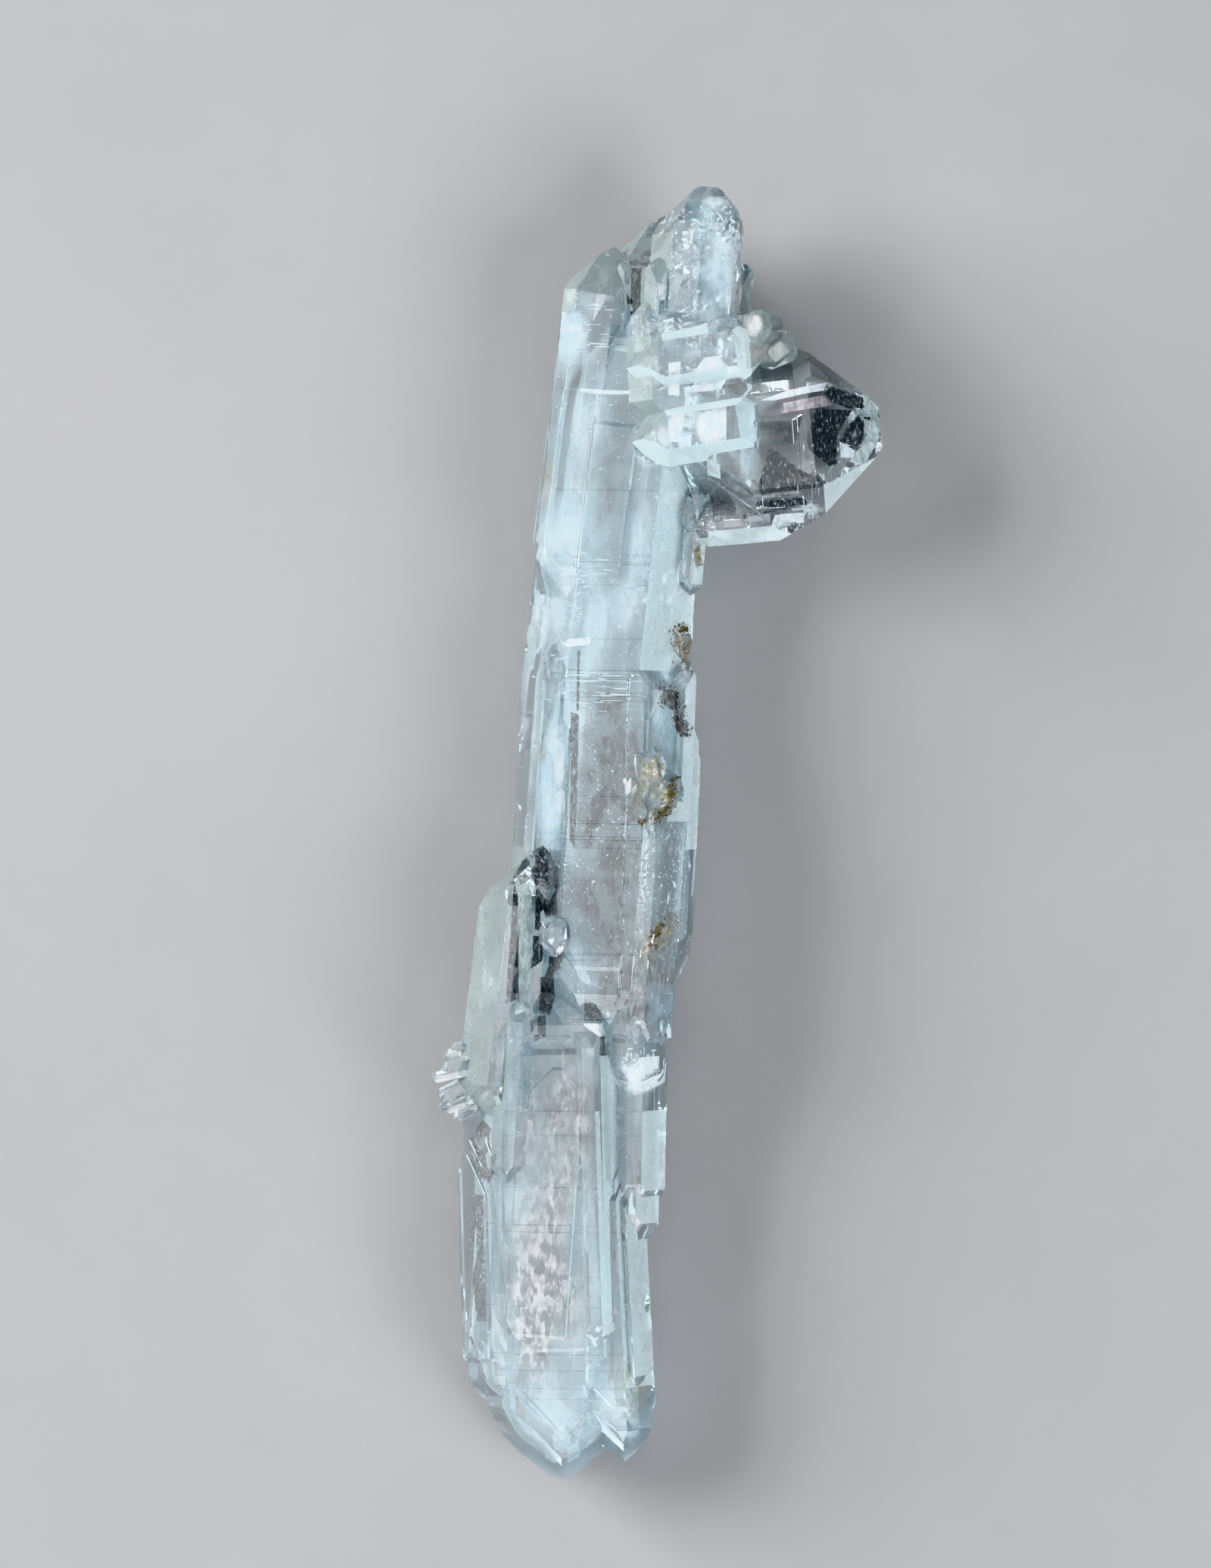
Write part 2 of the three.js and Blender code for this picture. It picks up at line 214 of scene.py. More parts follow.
# %% Where the steps lie
BODY_STEPS = 70
SIDE_STEPS = 16
STRONG_RISE = 3 * STEP_RISE
STRONG_STEPS = (
    # from and to on the plan, in millimetres, and how many strong lines the front has between them
    (5.6, 8.6, 16),
    (15.9, 17.2, 9),
    (-14.5, -12.5, 6),
)
drawn = random.Random(8)
growth_steps(quartz_shape, LONG_AXIS, BODY_STEPS, cad_low.y, cad_high.y, on_the_body, drawn)
growth_steps(quartz_shape, SIDE_AXIS, SIDE_STEPS, spot(10, 0).x, cad_high.x, in_side_group, drawn)
for low, high, count in STRONG_STEPS:
    bottom, top = spot(0, low).y, spot(0, high).y
    growth_steps(quartz_shape, LONG_AXIS, count, bottom, top, on_front_face, drawn, STRONG_RISE)
print("faces with growth steps:", len(quartz_shape.faces))

# %% [markdown]
# From here on every shape becomes a piece in one way. Its object stays at the origin with its place in its
# mesh, so a pattern on object coordinates can't slide. The shading runs on across the very gentlest edges
# only, because a crystal's faces are flat and its edges crisp. Small parts of one kind are joined, which
# keeps the pieces few.

# %% A shape as a piece
SMOOTH_ANGLE = math.radians(1.5)  # across gentler edges than this the shading runs on


def as_piece(name, shape, material, smooth=True):
    """A bmesh as a finished piece, at the origin, on the one body."""
    for face in shape.faces:
        face.smooth = smooth
    for edge in shape.edges:
        edge.smooth = not edge.is_manifold or edge.calc_face_angle(0) < SMOOTH_ANGLE
    mesh = bpy.data.meshes.new(name)
    shape.to_mesh(mesh)
    mesh.materials.append(material)
    piece = bpy.data.objects.new(name, mesh)
    bpy.context.scene.collection.objects.link(piece)
    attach(piece, "root")
    return piece


def join(shape, part):
    """Adds a part to a shape, and frees the part."""
    mesh = bpy.data.meshes.new("part")
    part.to_mesh(mesh)
    part.free()
    shape.from_mesh(mesh)
    bpy.data.meshes.remove(mesh)


# %% [markdown]
# A finish in Blender is a small graph of nodes. Written out one by one they would fill pages, so a few
# helpers add a node, link it and hand back its output, and a material below reads as a list of what it
# does.

# %% Node helpers
def node_tools(material):
    """Shortcuts to add and link nodes of one material."""
    material.use_nodes = True
    tree = material.node_tree
    tree.nodes.clear()

    def add(kind, sockets=None, **settings):
        """A node of that kind, with its settings, and the values of its sockets by their names."""
        node = tree.nodes.new(kind)
        for name, value in settings.items():
            setattr(node, name, value)
        for name, value in (sockets or {}).items():
            node.inputs[name].default_value = value
        return node

    return add, tree.links.new


def add_noise(add, link, where, scale, detail=4, roughness=0.55):
    """A noise on object coordinates. scale is how many grains it has in a metre along X, Y and Z."""
    stretch = add("ShaderNodeMapping", {"Scale": scale})
    link(where.outputs["Object"], stretch.inputs["Vector"])
    values = {"Scale": 1, "Detail": detail, "Roughness": roughness}
    noise_node = add("ShaderNodeTexNoise", values)
    link(stretch.outputs[0], noise_node.inputs["Vector"])
    return noise_node.outputs[0]


def add_range(add, link, source, from_low, from_high, to_low=0.0, to_high=1.0):
    """Turns one range of values into another, and stops at its ends."""
    values = {"From Min": from_low, "From Max": from_high, "To Min": to_low, "To Max": to_high}
    mapped = add("ShaderNodeMapRange", values, interpolation_type="SMOOTHSTEP")
    link(source, mapped.inputs["Value"])
    return mapped.outputs[0]


def add_math(add, link, operation, first, second):
    """One operation on two values. Each is a socket or a number."""
    node = add("ShaderNodeMath", operation=operation)
    for source, target in zip((first, second), node.inputs):
        if isinstance(source, (int, float)):
            target.default_value = source
        else:
            link(source, target)
    return node.outputs[0]


def finish_surface(add, link, shader):
    output = add("ShaderNodeOutputMaterial")
    link(shader.outputs[0], output.inputs["Surface"])
    return output


# %% [markdown]
# Clear quartz is see-through, by plain transmission, IOR and absorption. The finish adds what real faces
# have: fine level lines in the bump, and frost, which is a rougher surface, where a face is etched. Both
# read object coordinates: a frosted place is a ball round a spot, and a face is frosted where it passes
# through the ball.

# %% The quartz's material
QUARTZ_IOR = 1.544
QUARTZ_TINT = (0.92, 0.97, 1.0, 1)
TRANSMISSION = 0.94  # the rest is a faint haze
ABSORPTION = (0.46, 0.7, 0.79, 1)
ABSORPTION_DENSITY = 36  # a metre
CLEAR_ROUGHNESS = 0.015
FROST_ROUGHNESS = 0.34
FROST_GRAIN = (900, 900, 900)  # how many grains a metre
FINE_LINES = (120, 2600, 120)  # level lines: close together along Y and long across it
BUMP_HEIGHT = 0.04 * MM
FROST_CORE = 0.6  # the share of its reach within which a spot is frosted all over
FROST_SPOTS = (
    # the middle of a frosted ball on the plan, and its reach, in millimetres
    ((2.6, 30.9, 12.5), 2.6),  # the left ends of the two small crystals in front
    ((3.2, 25.8, 12.5), 2.9),
    ((11.9, 33.9, 10.0), 3.6),  # the jumble in the corner
    ((5.6, 28.4, 12.5), 2.2),
    ((21.4, 26.8, 6.5), 1.7),  # the rim of the big side crystal
    ((18.4, 22.2, 6.0), 1.7),
    ((3.2, 0.0, 10.5), 2.6),  # the stained plate
    ((0.9, 45.2, 9.5), 2.0),
    ((0.6, 39.6, 8.5), 2.4),  # the slope of the left shoulder
)


def quartz_material(name, transmission, absorbs):
    """Quartz. Only plain quartz absorbs light, for the reason that the cell on satin faces gives."""
    material = bpy.data.materials.new(name)
    add, link = node_tools(material)
    values = {"Base Color": QUARTZ_TINT, "Transmission Weight": transmission, "IOR": QUARTZ_IOR}
    shader = add("ShaderNodeBsdfPrincipled", values)
    output = finish_surface(add, link, shader)
    if absorbs:
        absorb = add("ShaderNodeVolumeAbsorption", {"Color": ABSORPTION, "Density": ABSORPTION_DENSITY})
        link(absorb.outputs[0], output.inputs["Volume"])
    where = add("ShaderNodeTexCoord")
    frost = 0.0
    for middle, reach in FROST_SPOTS:
        away = add("ShaderNodeVectorMath", {1: spot(*middle)}, operation="DISTANCE")
        link(where.outputs["Object"], away.inputs[0])
        ball = add_range(add, link, away.outputs["Value"], reach * MM, FROST_CORE * reach * MM)
        frost = add_math(add, link, "MAXIMUM", ball, frost)
    mottle = add_range(add, link, add_noise(add, link, where, FROST_GRAIN), 0.35, 0.6, 0.55, 1)
    frost = add_math(add, link, "MULTIPLY", frost, mottle)
    link(add_range(add, link, frost, 0, 1, CLEAR_ROUGHNESS, FROST_ROUGHNESS), shader.inputs["Roughness"])
    lines = add_noise(add, link, where, FINE_LINES, 3)
    bump = add("ShaderNodeBump", {"Strength": 0.05, "Distance": BUMP_HEIGHT})
    link(lines, bump.inputs["Height"])
    link(bump.outputs[0], shader.inputs["Normal"])
    return material


# %% [markdown]
# Some faces of the real specimen are etched and look like satin, and others are clear windows. A finish
# that changes by a noise would blur the straight borders between them, so every face has one of four
# finishes from edge to edge, by where it lies on the plan and which way it looks. Only plain quartz absorbs
# light. While all four did, single faces turned navy, probably because a ray that comes in by one material
# and leaves by another goes on absorbing in the open air.

# %% Satin faces and windows
PLAIN, SHADED_SATIN, LIT_SATIN, WINDOW = range(4)  # places in the quartz's list of materials
LEVEL = 0.94  # a face whose normal's height is above this lies level, and isn't satin
SATIN_ZONES = (
    # low and high corner on the plan, the way the faces look, how closely they do, and which satin
    # grey satin paints shade, mostly on faces turned left; pale satin paints light, mostly on faces turned
    # right or up
    ((0.8, 23.5), (11.0, 34.0), (-0.6, 0, 0.8), 0.7, SHADED_SATIN),  # the two small crystals that point left
    ((0.8, 23.5), (11.0, 34.0), (0, 0, 1), 0.25, LIT_SATIN),
    ((14.0, 17.5), (21.0, 30.5), (0.55, -0.55, 0.4), 0.9, LIT_SATIN),  # the rim of the big side crystal
    ((7.0, 17.5), (16.0, 19.4), (0, -0.85, 0.5), 0.7, LIT_SATIN),
    ((-3.6, 35.5), (4.4, 44.6), (-0.5, 0.7, 0.5), 0.6, SHADED_SATIN),  # the slopes left of the top
    ((2.5, 9.0), (8.5, 24.0), (0.87, 0, 0.5), 0.9, LIT_SATIN),  # the strip along the right side
    ((-11.5, -25.0), (-6.0, -4.5), (-0.8, 0.1, 0.5), 0.6, SHADED_SATIN),  # the outer lower left face
    ((-5.2, -45.0), (6.0, -22.0), (0.87, 0, 0.5), 0.85, LIT_SATIN),
    ((10.0, 31.0), (16.0, 37.5), (0, 0, 1), 0.2, SHADED_SATIN),  # the jumble in the corner
    ((5.6, -6.0), (9.0, 9.0), (0.87, 0, 0.5), 0.8, LIT_SATIN),  # the bright right edge at mid length
)
WINDOW_ZONES = (
    # low and high corner on the plan of what is as clear as glass
    ((10.4, 18.5), (21.5, 30.6)),  # the big side crystal
    ((-6.6, -16.2), (-4.4, -5.0)),  # the right side of the lower left crystal
)


def in_zone(flat, low, high):
    return low[0] < flat.x < high[0] and low[1] < flat.y < high[1]


def finish_of(face):
    """Which finish a face has: that of the first zone that holds it."""
    flat = (face.calc_center_median() - PLAN_ORIGIN) / MM
    for low, high, way, closeness, which in SATIN_ZONES:
        looks = face.normal.z < LEVEL and face.normal.dot(Vector(way).normalized()) > closeness
        if looks and in_zone(flat, low, high):
            return which
    return WINDOW if any(in_zone(flat, low, high) for low, high in WINDOW_ZONES) else PLAIN


# %% [markdown]
# Etched quartz lets light through and scatters it. Satin could be clear quartz with more roughness, but its
# faces look paler and flatter than that, so this finish is only partly see-through and has a colour of its
# own. The etching is real, but the colour comes in two tones picked by where a face lies and which way it
# looks: the grey tone is painted shade, mostly on faces turned left, and the pale tone painted light, mostly
# on faces turned right or up.

# %% The satin finish
SATIN_TRANSMISSION = 0.6
ETCHING = (700, 700, 700)  # grains a metre


def satin_material(name, colour):
    material = bpy.data.materials.new(name)
    add, link = node_tools(material)
    values = {"Base Color": (*colour, 1), "Transmission Weight": SATIN_TRANSMISSION, "IOR": QUARTZ_IOR}
    shader = add("ShaderNodeBsdfPrincipled", values)
    finish_surface(add, link, shader)
    where = add("ShaderNodeTexCoord")
    etch = add_noise(add, link, where, ETCHING, 4)
    link(add_range(add, link, etch, 0.35, 0.65, 0.2, 0.4), shader.inputs["Roughness"])
    bump = add("ShaderNodeBump", {"Strength": 0.15, "Distance": BUMP_HEIGHT})
    link(etch, bump.inputs["Height"])
    link(bump.outputs[0], shader.inputs["Normal"])
    return material


# %% [markdown]
# The quartz carries its four finishes as four materials, and each face holds the number of its own. It
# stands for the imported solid, which is then hidden.

# %% The quartz as a piece
for face in quartz_shape.faces:
    face.material_index = finish_of(face)
plain_quartz = quartz_material("clear_quartz", TRANSMISSION, absorbs=True)
quartz = as_piece("quartz", quartz_shape, plain_quartz)
# the etched finish in two tones: grey as painted shade, pale as painted light
quartz.data.materials.append(satin_material("satin_painted_shade", (0.22, 0.265, 0.268)))
quartz.data.materials.append(satin_material("satin_painted_light", (0.6, 0.72, 0.75)))
quartz.data.materials.append(quartz_material("window_quartz", 1.0, absorbs=False))
for i, finish in enumerate(quartz.data.materials):
    print(finish.name, "faces:", sum(face.material_index == i for face in quartz_shape.faces))
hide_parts("faden_quartz_crystal")

# %% [markdown]
# Next comes what lies inside. Two questions are asked again and again: is this point in the quartz, and
# where is the front face over this place on the plan? A tree of the quartz's faces answers both.

# %% What is inside, and what lies on top
quartz_tree = BVHTree.FromBMesh(quartz_shape)
GAZE = 40  # millimetres: higher than the specimen, to look down on it from
HAIR = 0.001 * MM  # a ray starts this far past the last face, so that it doesn't meet it again


def faces_above(point):
    """How many faces a line from the point straight up goes through."""
    up = Vector((0, 0, 1))
    count = 0
    place = point
    while place is not None:
        place = quartz_tree.ray_cast(place + up * HAIR, up)[0]
        count += place is not None
    return count


def inside(point, margin):
    """True where the point lies in the quartz, at least margin under its surface."""
    _, _, _, distance = quartz_tree.find_nearest(point)
    return distance > margin and faces_above(point) % 2 == 1


def top_of(x, y):
    """The point and the normal where a plumb line over the plan meets the front of the quartz."""
    place, normal, _, _ = quartz_tree.ray_cast(spot(x, y, GAZE), Vector((0, 0, -1)))
    return place, normal


# %% [markdown]
# The body of the specimen isn't clear but cloudy, layer under layer, because it trapped bubbles as it grew.
# Each layer is made as a phantom: the outline of the younger crystal, drawn in from today's faces. A voxel
# remesh of the quartz gives it an even grid of points, and each point then moves in along its normal. A few
# windows stay clear.

# %% Phantoms
PHANTOMS = (
    # how deep it lies and the size of its grid, in millimetres, and how often it is smoothed
    (2.2, 0.5, 3),
    (3.6, 0.6, 4),
)
CLEAR_WINDOWS = (
    # the middle on the plan, half the width and half the height, the turn in degrees, and how clear
    ((16.2, 26.4), (6.6, 6.8), 0, 1.0),  # the big side crystal
    ((8.6, 21.4), (1.6, 2.2), 0, 0.9),  # the window beside it
    ((-7.2, -12.2), (0.45, 5.0), -4, 1.0),  # the two slits of the lower left crystal
    ((-4.9, -11.5), (1.0, 6.4), -5, 1.0),
    ((-9.0, -27.6), (1.0, 2.6), -8, 0.8),
    ((-9.8, -36.0), (0.6, 5.5), 0, 0.8),
    ((-0.1, -31.5), (0.75, 11.0), 2, 0.9),  # beside the slender crystal
    ((1.4, -18.0), (1.6, 2.6), 10, 0.8),
    ((0.8, 1.0), (2.5, 9.5), -3, 0.85),  # the darker middle of the body
    ((1.2, -12.0), (2.2, 9.0), -3, 0.6),
    ((1.2, 24.0), (1.6, 9.0), -5, 0.45),  # the quieter middle of the upper body
    ((10.6, 36.5), (1.2, 4.0), 0, 1.0),  # the small crystal behind the top one
    ((1.6, 38.5), (1.3, 3.4), -25, 0.9),
)
RIM_START, RIM_WIDTH = 1.25, 0.5  # where the milk is whole again, and over what stretch, in half widths
RIM_WANDER = 0.6  # how far the rim of a window wanders, as a share of its half width
CLOUD_WANDER = 0.5  # how much the density of the milk wanders between them


def window_share(point):
    """Near 0 in a clear window, 1 well away from all of them."""
    flat = (point - PLAN_ORIGIN) / MM
    share = 1.0
    for middle, (wide, tall), turn, clear in CLEAR_WINDOWS:
        offset = Matrix.Rotation(math.radians(-turn), 2) @ (flat.xy - Vector(middle))
        away = math.hypot(offset.x / wide, offset.y / tall) + RIM_WANDER * noise.noise(flat * 0.7)
        share = min(share, 1 - clear * max(0.0, min(1.0, (RIM_START - away) / RIM_WIDTH)))
    return share * (1 + CLOUD_WANDER * noise.noise(flat * 0.45 + Vector((9, 0, 0))))


# %% A phantom
def drop_outside(shape, margin):
    lost = [v for v in shape.verts if not inside(v.co, margin)]
    bmesh.ops.delete(shape, geom=lost, context="VERTS")


def phantom(quartz, depth, grid, smoothing):
    """An inner copy of the quartz's outline, at that depth in millimetres."""
    remesh = quartz.modifiers.new("even_grid", "REMESH")
    remesh.mode = "VOXEL"
    remesh.voxel_size = grid * MM
    shape = bmesh.new()
    shape.from_object(quartz, bpy.context.evaluated_depsgraph_get())
    quartz.modifiers.remove(remesh)
    for _ in range(smoothing):
        bmesh.ops.smooth_vert(
            shape,
            verts=shape.verts,
            factor=0.5,
            use_axis_x=True,
            use_axis_y=True,
            use_axis_z=True,
        )
    shape.normal_update()
    for v, inward in [(v, -v.normal * depth * MM) for v in shape.verts]:
        v.co += inward
    drop_outside(shape, 0.5 * depth * MM)
    add_fade(shape)
    return shape


def add_fade(shape):
    fade = shape.verts.layers.float.new("fade")
    for v in shape.verts:
        v[fade] = window_share(v.co)


# %% [markdown]
# Milk in quartz is bubbles too small to see. A volume that scatters light would be the true way, but it
# needs many samples before it is smooth. So the milk lies on thin sheets whose alpha is a cloudy noise,
# with a fine grain in it. The same sheets carry the stains and the painted light and shade further down.
# Every sheet has an attribute called fade, which lets the milk run out towards a rim or a window.

# %% Milk, and sheets for stains and painted light and shade
FINE_GRAIN = 1 / (0.35 * MM)  # grains a metre


def milk_stain_and_painted_light_material(name, colours, size, low, high, most, stretch, grain, tints=(0.42, 0.6)):
    """A film for milk, stains, and painted light and shade: a noise of that size in millimetres sets the
    alpha, from none at low to most at high.
    """
    material = bpy.data.materials.new(name)
    add, link = node_tools(material)
    where = add("ShaderNodeTexCoord")
    per_metre = 1 / (size * MM)
    cloud = add_noise(add, link, where, (per_metre, stretch * per_metre, per_metre), 4, 0.55)
    amount = add_range(add, link, cloud, low, high, 0, most)
    grains = add_noise(add, link, where, (FINE_GRAIN, FINE_GRAIN * 0.6, FINE_GRAIN), 2, 0.7)
    grains = add_range(add, link, grains, 0.36, 0.62, 1 - grain, 1 + grain)
    amount = add_math(add, link, "MULTIPLY", amount, grains)
    fade = add("ShaderNodeAttribute", attribute_name="fade")
    amount = add_math(add, link, "MULTIPLY", amount, fade.outputs["Fac"])
    tint = add("ShaderNodeMix", data_type="RGBA")
    tint.inputs["A"].default_value = (*colours[0], 1)
    tint.inputs["B"].default_value = (*colours[1], 1)
    patches = add_noise(add, link, where, (per_metre * 2.3, per_metre, per_metre * 2.3), 2)
    link(add_range(add, link, patches, *tints), tint.inputs["Factor"])
    shader = add("ShaderNodeBsdfPrincipled", {"Roughness": 0.7})
    link(tint.outputs["Result"], shader.inputs["Base Color"])
    link(amount, shader.inputs["Alpha"])
    finish_surface(add, link, shader)
    return material


# %% Making the phantoms
phantom_shape = bmesh.new()
for depth, grid, smoothing in PHANTOMS:
    join(phantom_shape, phantom(quartz, depth, grid, smoothing))
milk_colours = ((0.52, 0.68, 0.74), (0.84, 0.94, 0.97))
milk = milk_stain_and_painted_light_material("milky_cloud", milk_colours, 5.0, 0.25, 0.75, 0.36, 0.8, 0.12)
phantoms = as_piece("phantoms", phantom_shape, milk)
print("faces in the phantoms:", len(phantom_shape.faces))

# %% [markdown]
# Milk lies close under some faces too, and so do painted light and painted shade. White veils wander up the
# lower half as milk, and brighten the right side as painted highlights. Pale ones give a whole face an even
# look, partly as milk and partly as painted light, streaks of grey milk with painted shade in their dark end
# run along the crystals of the lower half, and small glows are painted highlights where a light is caught.
# Elsewhere the eye looks deeper and sees less light, so mottle and shade are thin dark veils of painted
# shade.
# Painted on the face, a veil would hide what is inside, so each is a small grid laid over its place on the
# plan: its points drop onto the front face and then sink a little way in. The same grid, lifted a hair
# instead, carries the stains.

# %% Veils that follow a face
SKIN_GRID = 0.3  # millimetres between the points of a veil
NARROW_RIM = 2.4  # how steeply a line or a stain fades out at its rim
VEIL_RIM = 1.6  # and a broad veil
SMOOTH_DEPTH = 0.5  # millimetres: a veil this deep no longer follows the small relief of the front
SMOOTH_ROUNDS = 12
CEILING = 0.1  # millimetres: what a smoothed veil keeps between itself and the front
ASIDE = 0.02 * MM  # how far a veil moves in along the face's normal
STEEP = 0.9 * MM  # a veil is torn where the front under it drops by more than this in one step


def add_skin(shape, middle, size, turn, depth, strength=1.0, rim=NARROW_RIM):
    """A veil over a place on the plan, in millimetres, at that depth under the front. Its rim fades out."""
    width, length = size
    veil = bmesh.new()
    fade = veil.verts.layers.float.new("fade")
    made = bmesh.ops.create_grid(
        veil,
        x_segments=max(3, round(width / SKIN_GRID)),
        y_segments=max(3, round(length / SKIN_GRID)),
        size=0.5,
    )["verts"]
    aside = Matrix.Rotation(math.radians(turn), 2)
    lost = []
    for v in made:
        out = math.hypot(v.co.x, v.co.y) * 2
        v[fade] = strength * max(0.0, min(1.0, (1.0 - out) * rim))
        x, y = aside @ Vector((v.co.x * width, v.co.y * length)) + Vector(middle)
        place, normal = top_of(x, y)
        if place is None or out > 1:
            lost.append(v)
        else:
            v.co = place - Vector((0, 0, depth * MM)) - normal * ASIDE
    bmesh.ops.delete(veil, geom=lost, context="VERTS")
    settle(veil, depth)
    join(shape, veil)


def tear(shape):
    """Takes out the faces that hang down a step of the front."""
    steep = [f for f in shape.faces if max(v.co.z for v in f.verts) - min(v.co.z for v in f.verts) > STEEP]
    bmesh.ops.delete(shape, geom=steep, context="FACES")


def settle(veil, depth):
    """Tears a veil where the front drops too steeply, and draws a deep one smooth, like a sheet of milk."""
    tear(veil)
    if depth < SMOOTH_DEPTH:
        return
    ceilings = {v: v.co.z + (depth - CEILING) * MM for v in veil.verts}
    for _ in range(SMOOTH_ROUNDS):
        bmesh.ops.smooth_vert(veil, verts=veil.verts, factor=0.5, use_axis_z=True)
    for v, ceiling in ceilings.items():
        v.co.z = min(v.co.z, ceiling)


# %% Where the milk and the painted light lie
MILK_AND_HIGHLIGHT_VEILS = (
    # middle, size, turn, depth and strength; the milky band is milk, the bright places are painted highlights
    ((-3.9, -27.0), (4.6, 22.0), -9, 1.4, 0.5),  # the milky band of the lower half
    ((-2.6, -20.5), (3.4, 9.0), -14, 2.2, 0.5),
    ((-3.4, 2.6), (1.2, 2.4), 10, 0.3, 1.5),
    ((-2.4, 10.7), (2.4, 0.9), 8, 0.2, 2.0),
    ((0.0, 29.4), (4.0, 0.7), -2, 0.15, 2.0),  # the bright ledge
    ((5.9, 15.5), (3.0, 13.0), -4, 0.6, 1.0),  # the bright right side
    ((5.0, 21.0), (3.4, 5.0), 0, 0.6, 1.0),
    ((5.3, 8.9), (3.0, 2.8), -4, 0.4, 1.7),
    ((5.9, 7.0), (2.8, 6.0), -4, 0.25, 2.0),
    ((2.5, -22.2), (4.6, 3.0), 8, 0.3, 1.3),  # the bright foot
    ((2.8, 31.0), (3.0, 3.6), 8, 0.25, 1.3),  # the left ends of the two small crystals
    ((3.4, 25.6), (3.6, 4.2), 8, 0.25, 1.3),
    ((8.0, 30.6), (3.0, 3.0), 8, 0.2, 1.6),
    ((7.6, 26.6), (2.6, 3.6), 8, 0.2, 1.6),
    ((11.8, 33.8), (5.0, 4.4), 0, 0.4, 1.3),
    ((14.9, 20.5), (3.6, 1.6), 8, 0.3, 1.5),  # the bright foot of the big side crystal
    ((9.6, 36.5), (2.0, 2.6), 0, 0.4, 1.6),  # in the top crystal
    ((8.2, 43.4), (2.6, 2.0), 0, 0.5, 1.0),
)
MILK_AND_PAINTED_LIGHT_VEILS = (
    # broad faces with an even, pale look: milk, and painted light on the left face, the bright patches and
    # the right edge
    ((-2.7, 20.4), (2.8, 21.0), -5, 0.6, 1.1),  # the left face of the upper body
    ((-4.8, 13.0), (2.6, 22.0), -6, 0.7, 1.0),
    ((-3.6, 0.6), (3.2, 13.0), -6, 0.5, 1.3),  # the bright patch at mid length
    ((-3.8, -2.4), (1.8, 7.0), -6, 0.5, 1.2),
    ((2.8, 17.4), (2.6, 9.0), -5, 0.6, 0.8),  # the pale corner of the upper front
    ((1.2, 13.2), (5.0, 5.0), 0, 0.7, 0.7),
    ((5.3, 8.7), (3.4, 3.6), 0, 0.5, 1.9),
    ((6.9, 3.0), (2.4, 13.0), -4, 0.5, 1.7),  # the right edge at mid length
    ((4.4, 5.4), (3.0, 8.0), -4, 0.5, 1.4),
    ((6.2, -7.0), (2.8, 12.0), -4, 0.7, 1.1),
    ((-8.8, -12.0), (2.2, 15.0), -8, 0.8, 0.3),  # the outer face of the lower left crystal
    ((-2.6, 34.0), (3.4, 8.0), -6, 0.8, 1.3),  # the left shoulder
    ((8.2, 38.0), (3.8, 9.4), 0, 0.9, 1.2),  # the top crystal
    ((10.6, 25.6), (2.6, 7.6), 0, 0.6, 1.2),  # the root of the big side crystal
)
PAINTED_GLINT_VEILS = (
    # painted highlights: small white spots where a light is caught
    ((-3.5, 1.0), (1.3, 3.4), 0, 0.3, 1.0),
    ((-3.4, -1.4), (1.4, 3.0), 0, 0.3, 1.0),
    ((5.5, 9.0), (2.6, 2.4), 20, 0.3, 1.0),
    ((6.9, 4.4), (1.4, 3.4), 0, 0.3, 1.4),
    ((7.1, 1.2), (0.8, 2.2), 0, 0.3, 0.9),
    ((5.0, 21.4), (2.6, 2.2), -20, 0.3, 0.9),
    ((4.6, 23.2), (1.2, 2.2), 0, 0.3, 0.7),
    ((9.6, 36.6), (1.3, 2.2), 0, 0.4, 0.8),
    ((-2.2, 34.2), (1.6, 1.2), 0, 0.4, 0.6),
    ((6.0, -4.2), (1.0, 2.8), -8, 0.3, 0.7),
)

# %% Where the grey milk and the painted shade lie
MOTTLED_SHADE_VEILS = (
    # painted shade: near-black clouds in the middle of the front
    ((0.4, -3.0), (6.0, 24.0), -3, 0.5, 1.6),
    ((1.6, -15.0), (5.0, 8.0), -6, 0.6, 1.5),
    ((4.8, -2.0), (2.4, 12.0), -4, 0.6, 0.6),
)
STREAK_AND_SHADE_VEILS = (
    # the milk of the lower half, greyer and drawn out along the crystals, with painted shade in its dark end
    ((-3.6, -27.0), (8.0, 22.0), -7, 0.7, 1.0),
    ((-5.0, -39.0), (9.0, 17.0), 0, 0.8, 1.0),
    ((2.6, -33.0), (5.4, 20.0), 2, 0.7, 1.0),
    ((2.4, -14.0), (7.0, 9.0), -4, 0.8, 0.8),
    ((-8.6, -20.0), (2.6, 10.0), -8, 0.6, 0.9),
)
SHADE_VEILS = (
    # where the quartz is clear to some depth, it looks darker
    ((0.4, 33.8), (2.4, 7.0), -6, 0.6, 1.0),  # the right half of the left shoulder
    ((0.7, 23.6), (4.6, 13.5), -5, 0.7, 1.2),  # the upper front
    ((1.4, 2.0), (3.6, 7.0), -3, 0.6, 1.8),  # the middle
    ((0.9, 6.0), (3.0, 4.0), 0, 0.9, 0.7),
    ((-0.8, -8.6), (4.6, 9.6), -3, 0.8, 0.9),
    ((1.3, -18.9), (1.9, 1.7), 0, 0.5, 1.2),
    ((7.2, 39.8), (2.4, 2.6), 0, 0.6, 1.0),  # in the top crystal
    ((7.4, 37.0), (2.8, 2.2), 0, 0.6, 0.8),
    ((9.0, 41.8), (1.1, 1.8), -20, 0.5, 1.2),
    ((5.6, 33.4), (1.4, 4.4), 0, 0.6, 0.9),
    ((15.6, 26.4), (6.4, 5.6), 0, 0.9, 0.5),  # in the big side crystal
    ((13.6, 22.6), (5.6, 3.2), 0, 0.8, 0.5),
    ((-7.4, -38.0), (1.6, 11.0), 0, 0.7, 0.8),  # down the lower left
    ((-0.6, -31.0), (1.2, 13.0), 2, 0.7, 0.8),
    ((3.2, -27.0), (1.2, 9.0), 0, 0.7, 0.6),
)

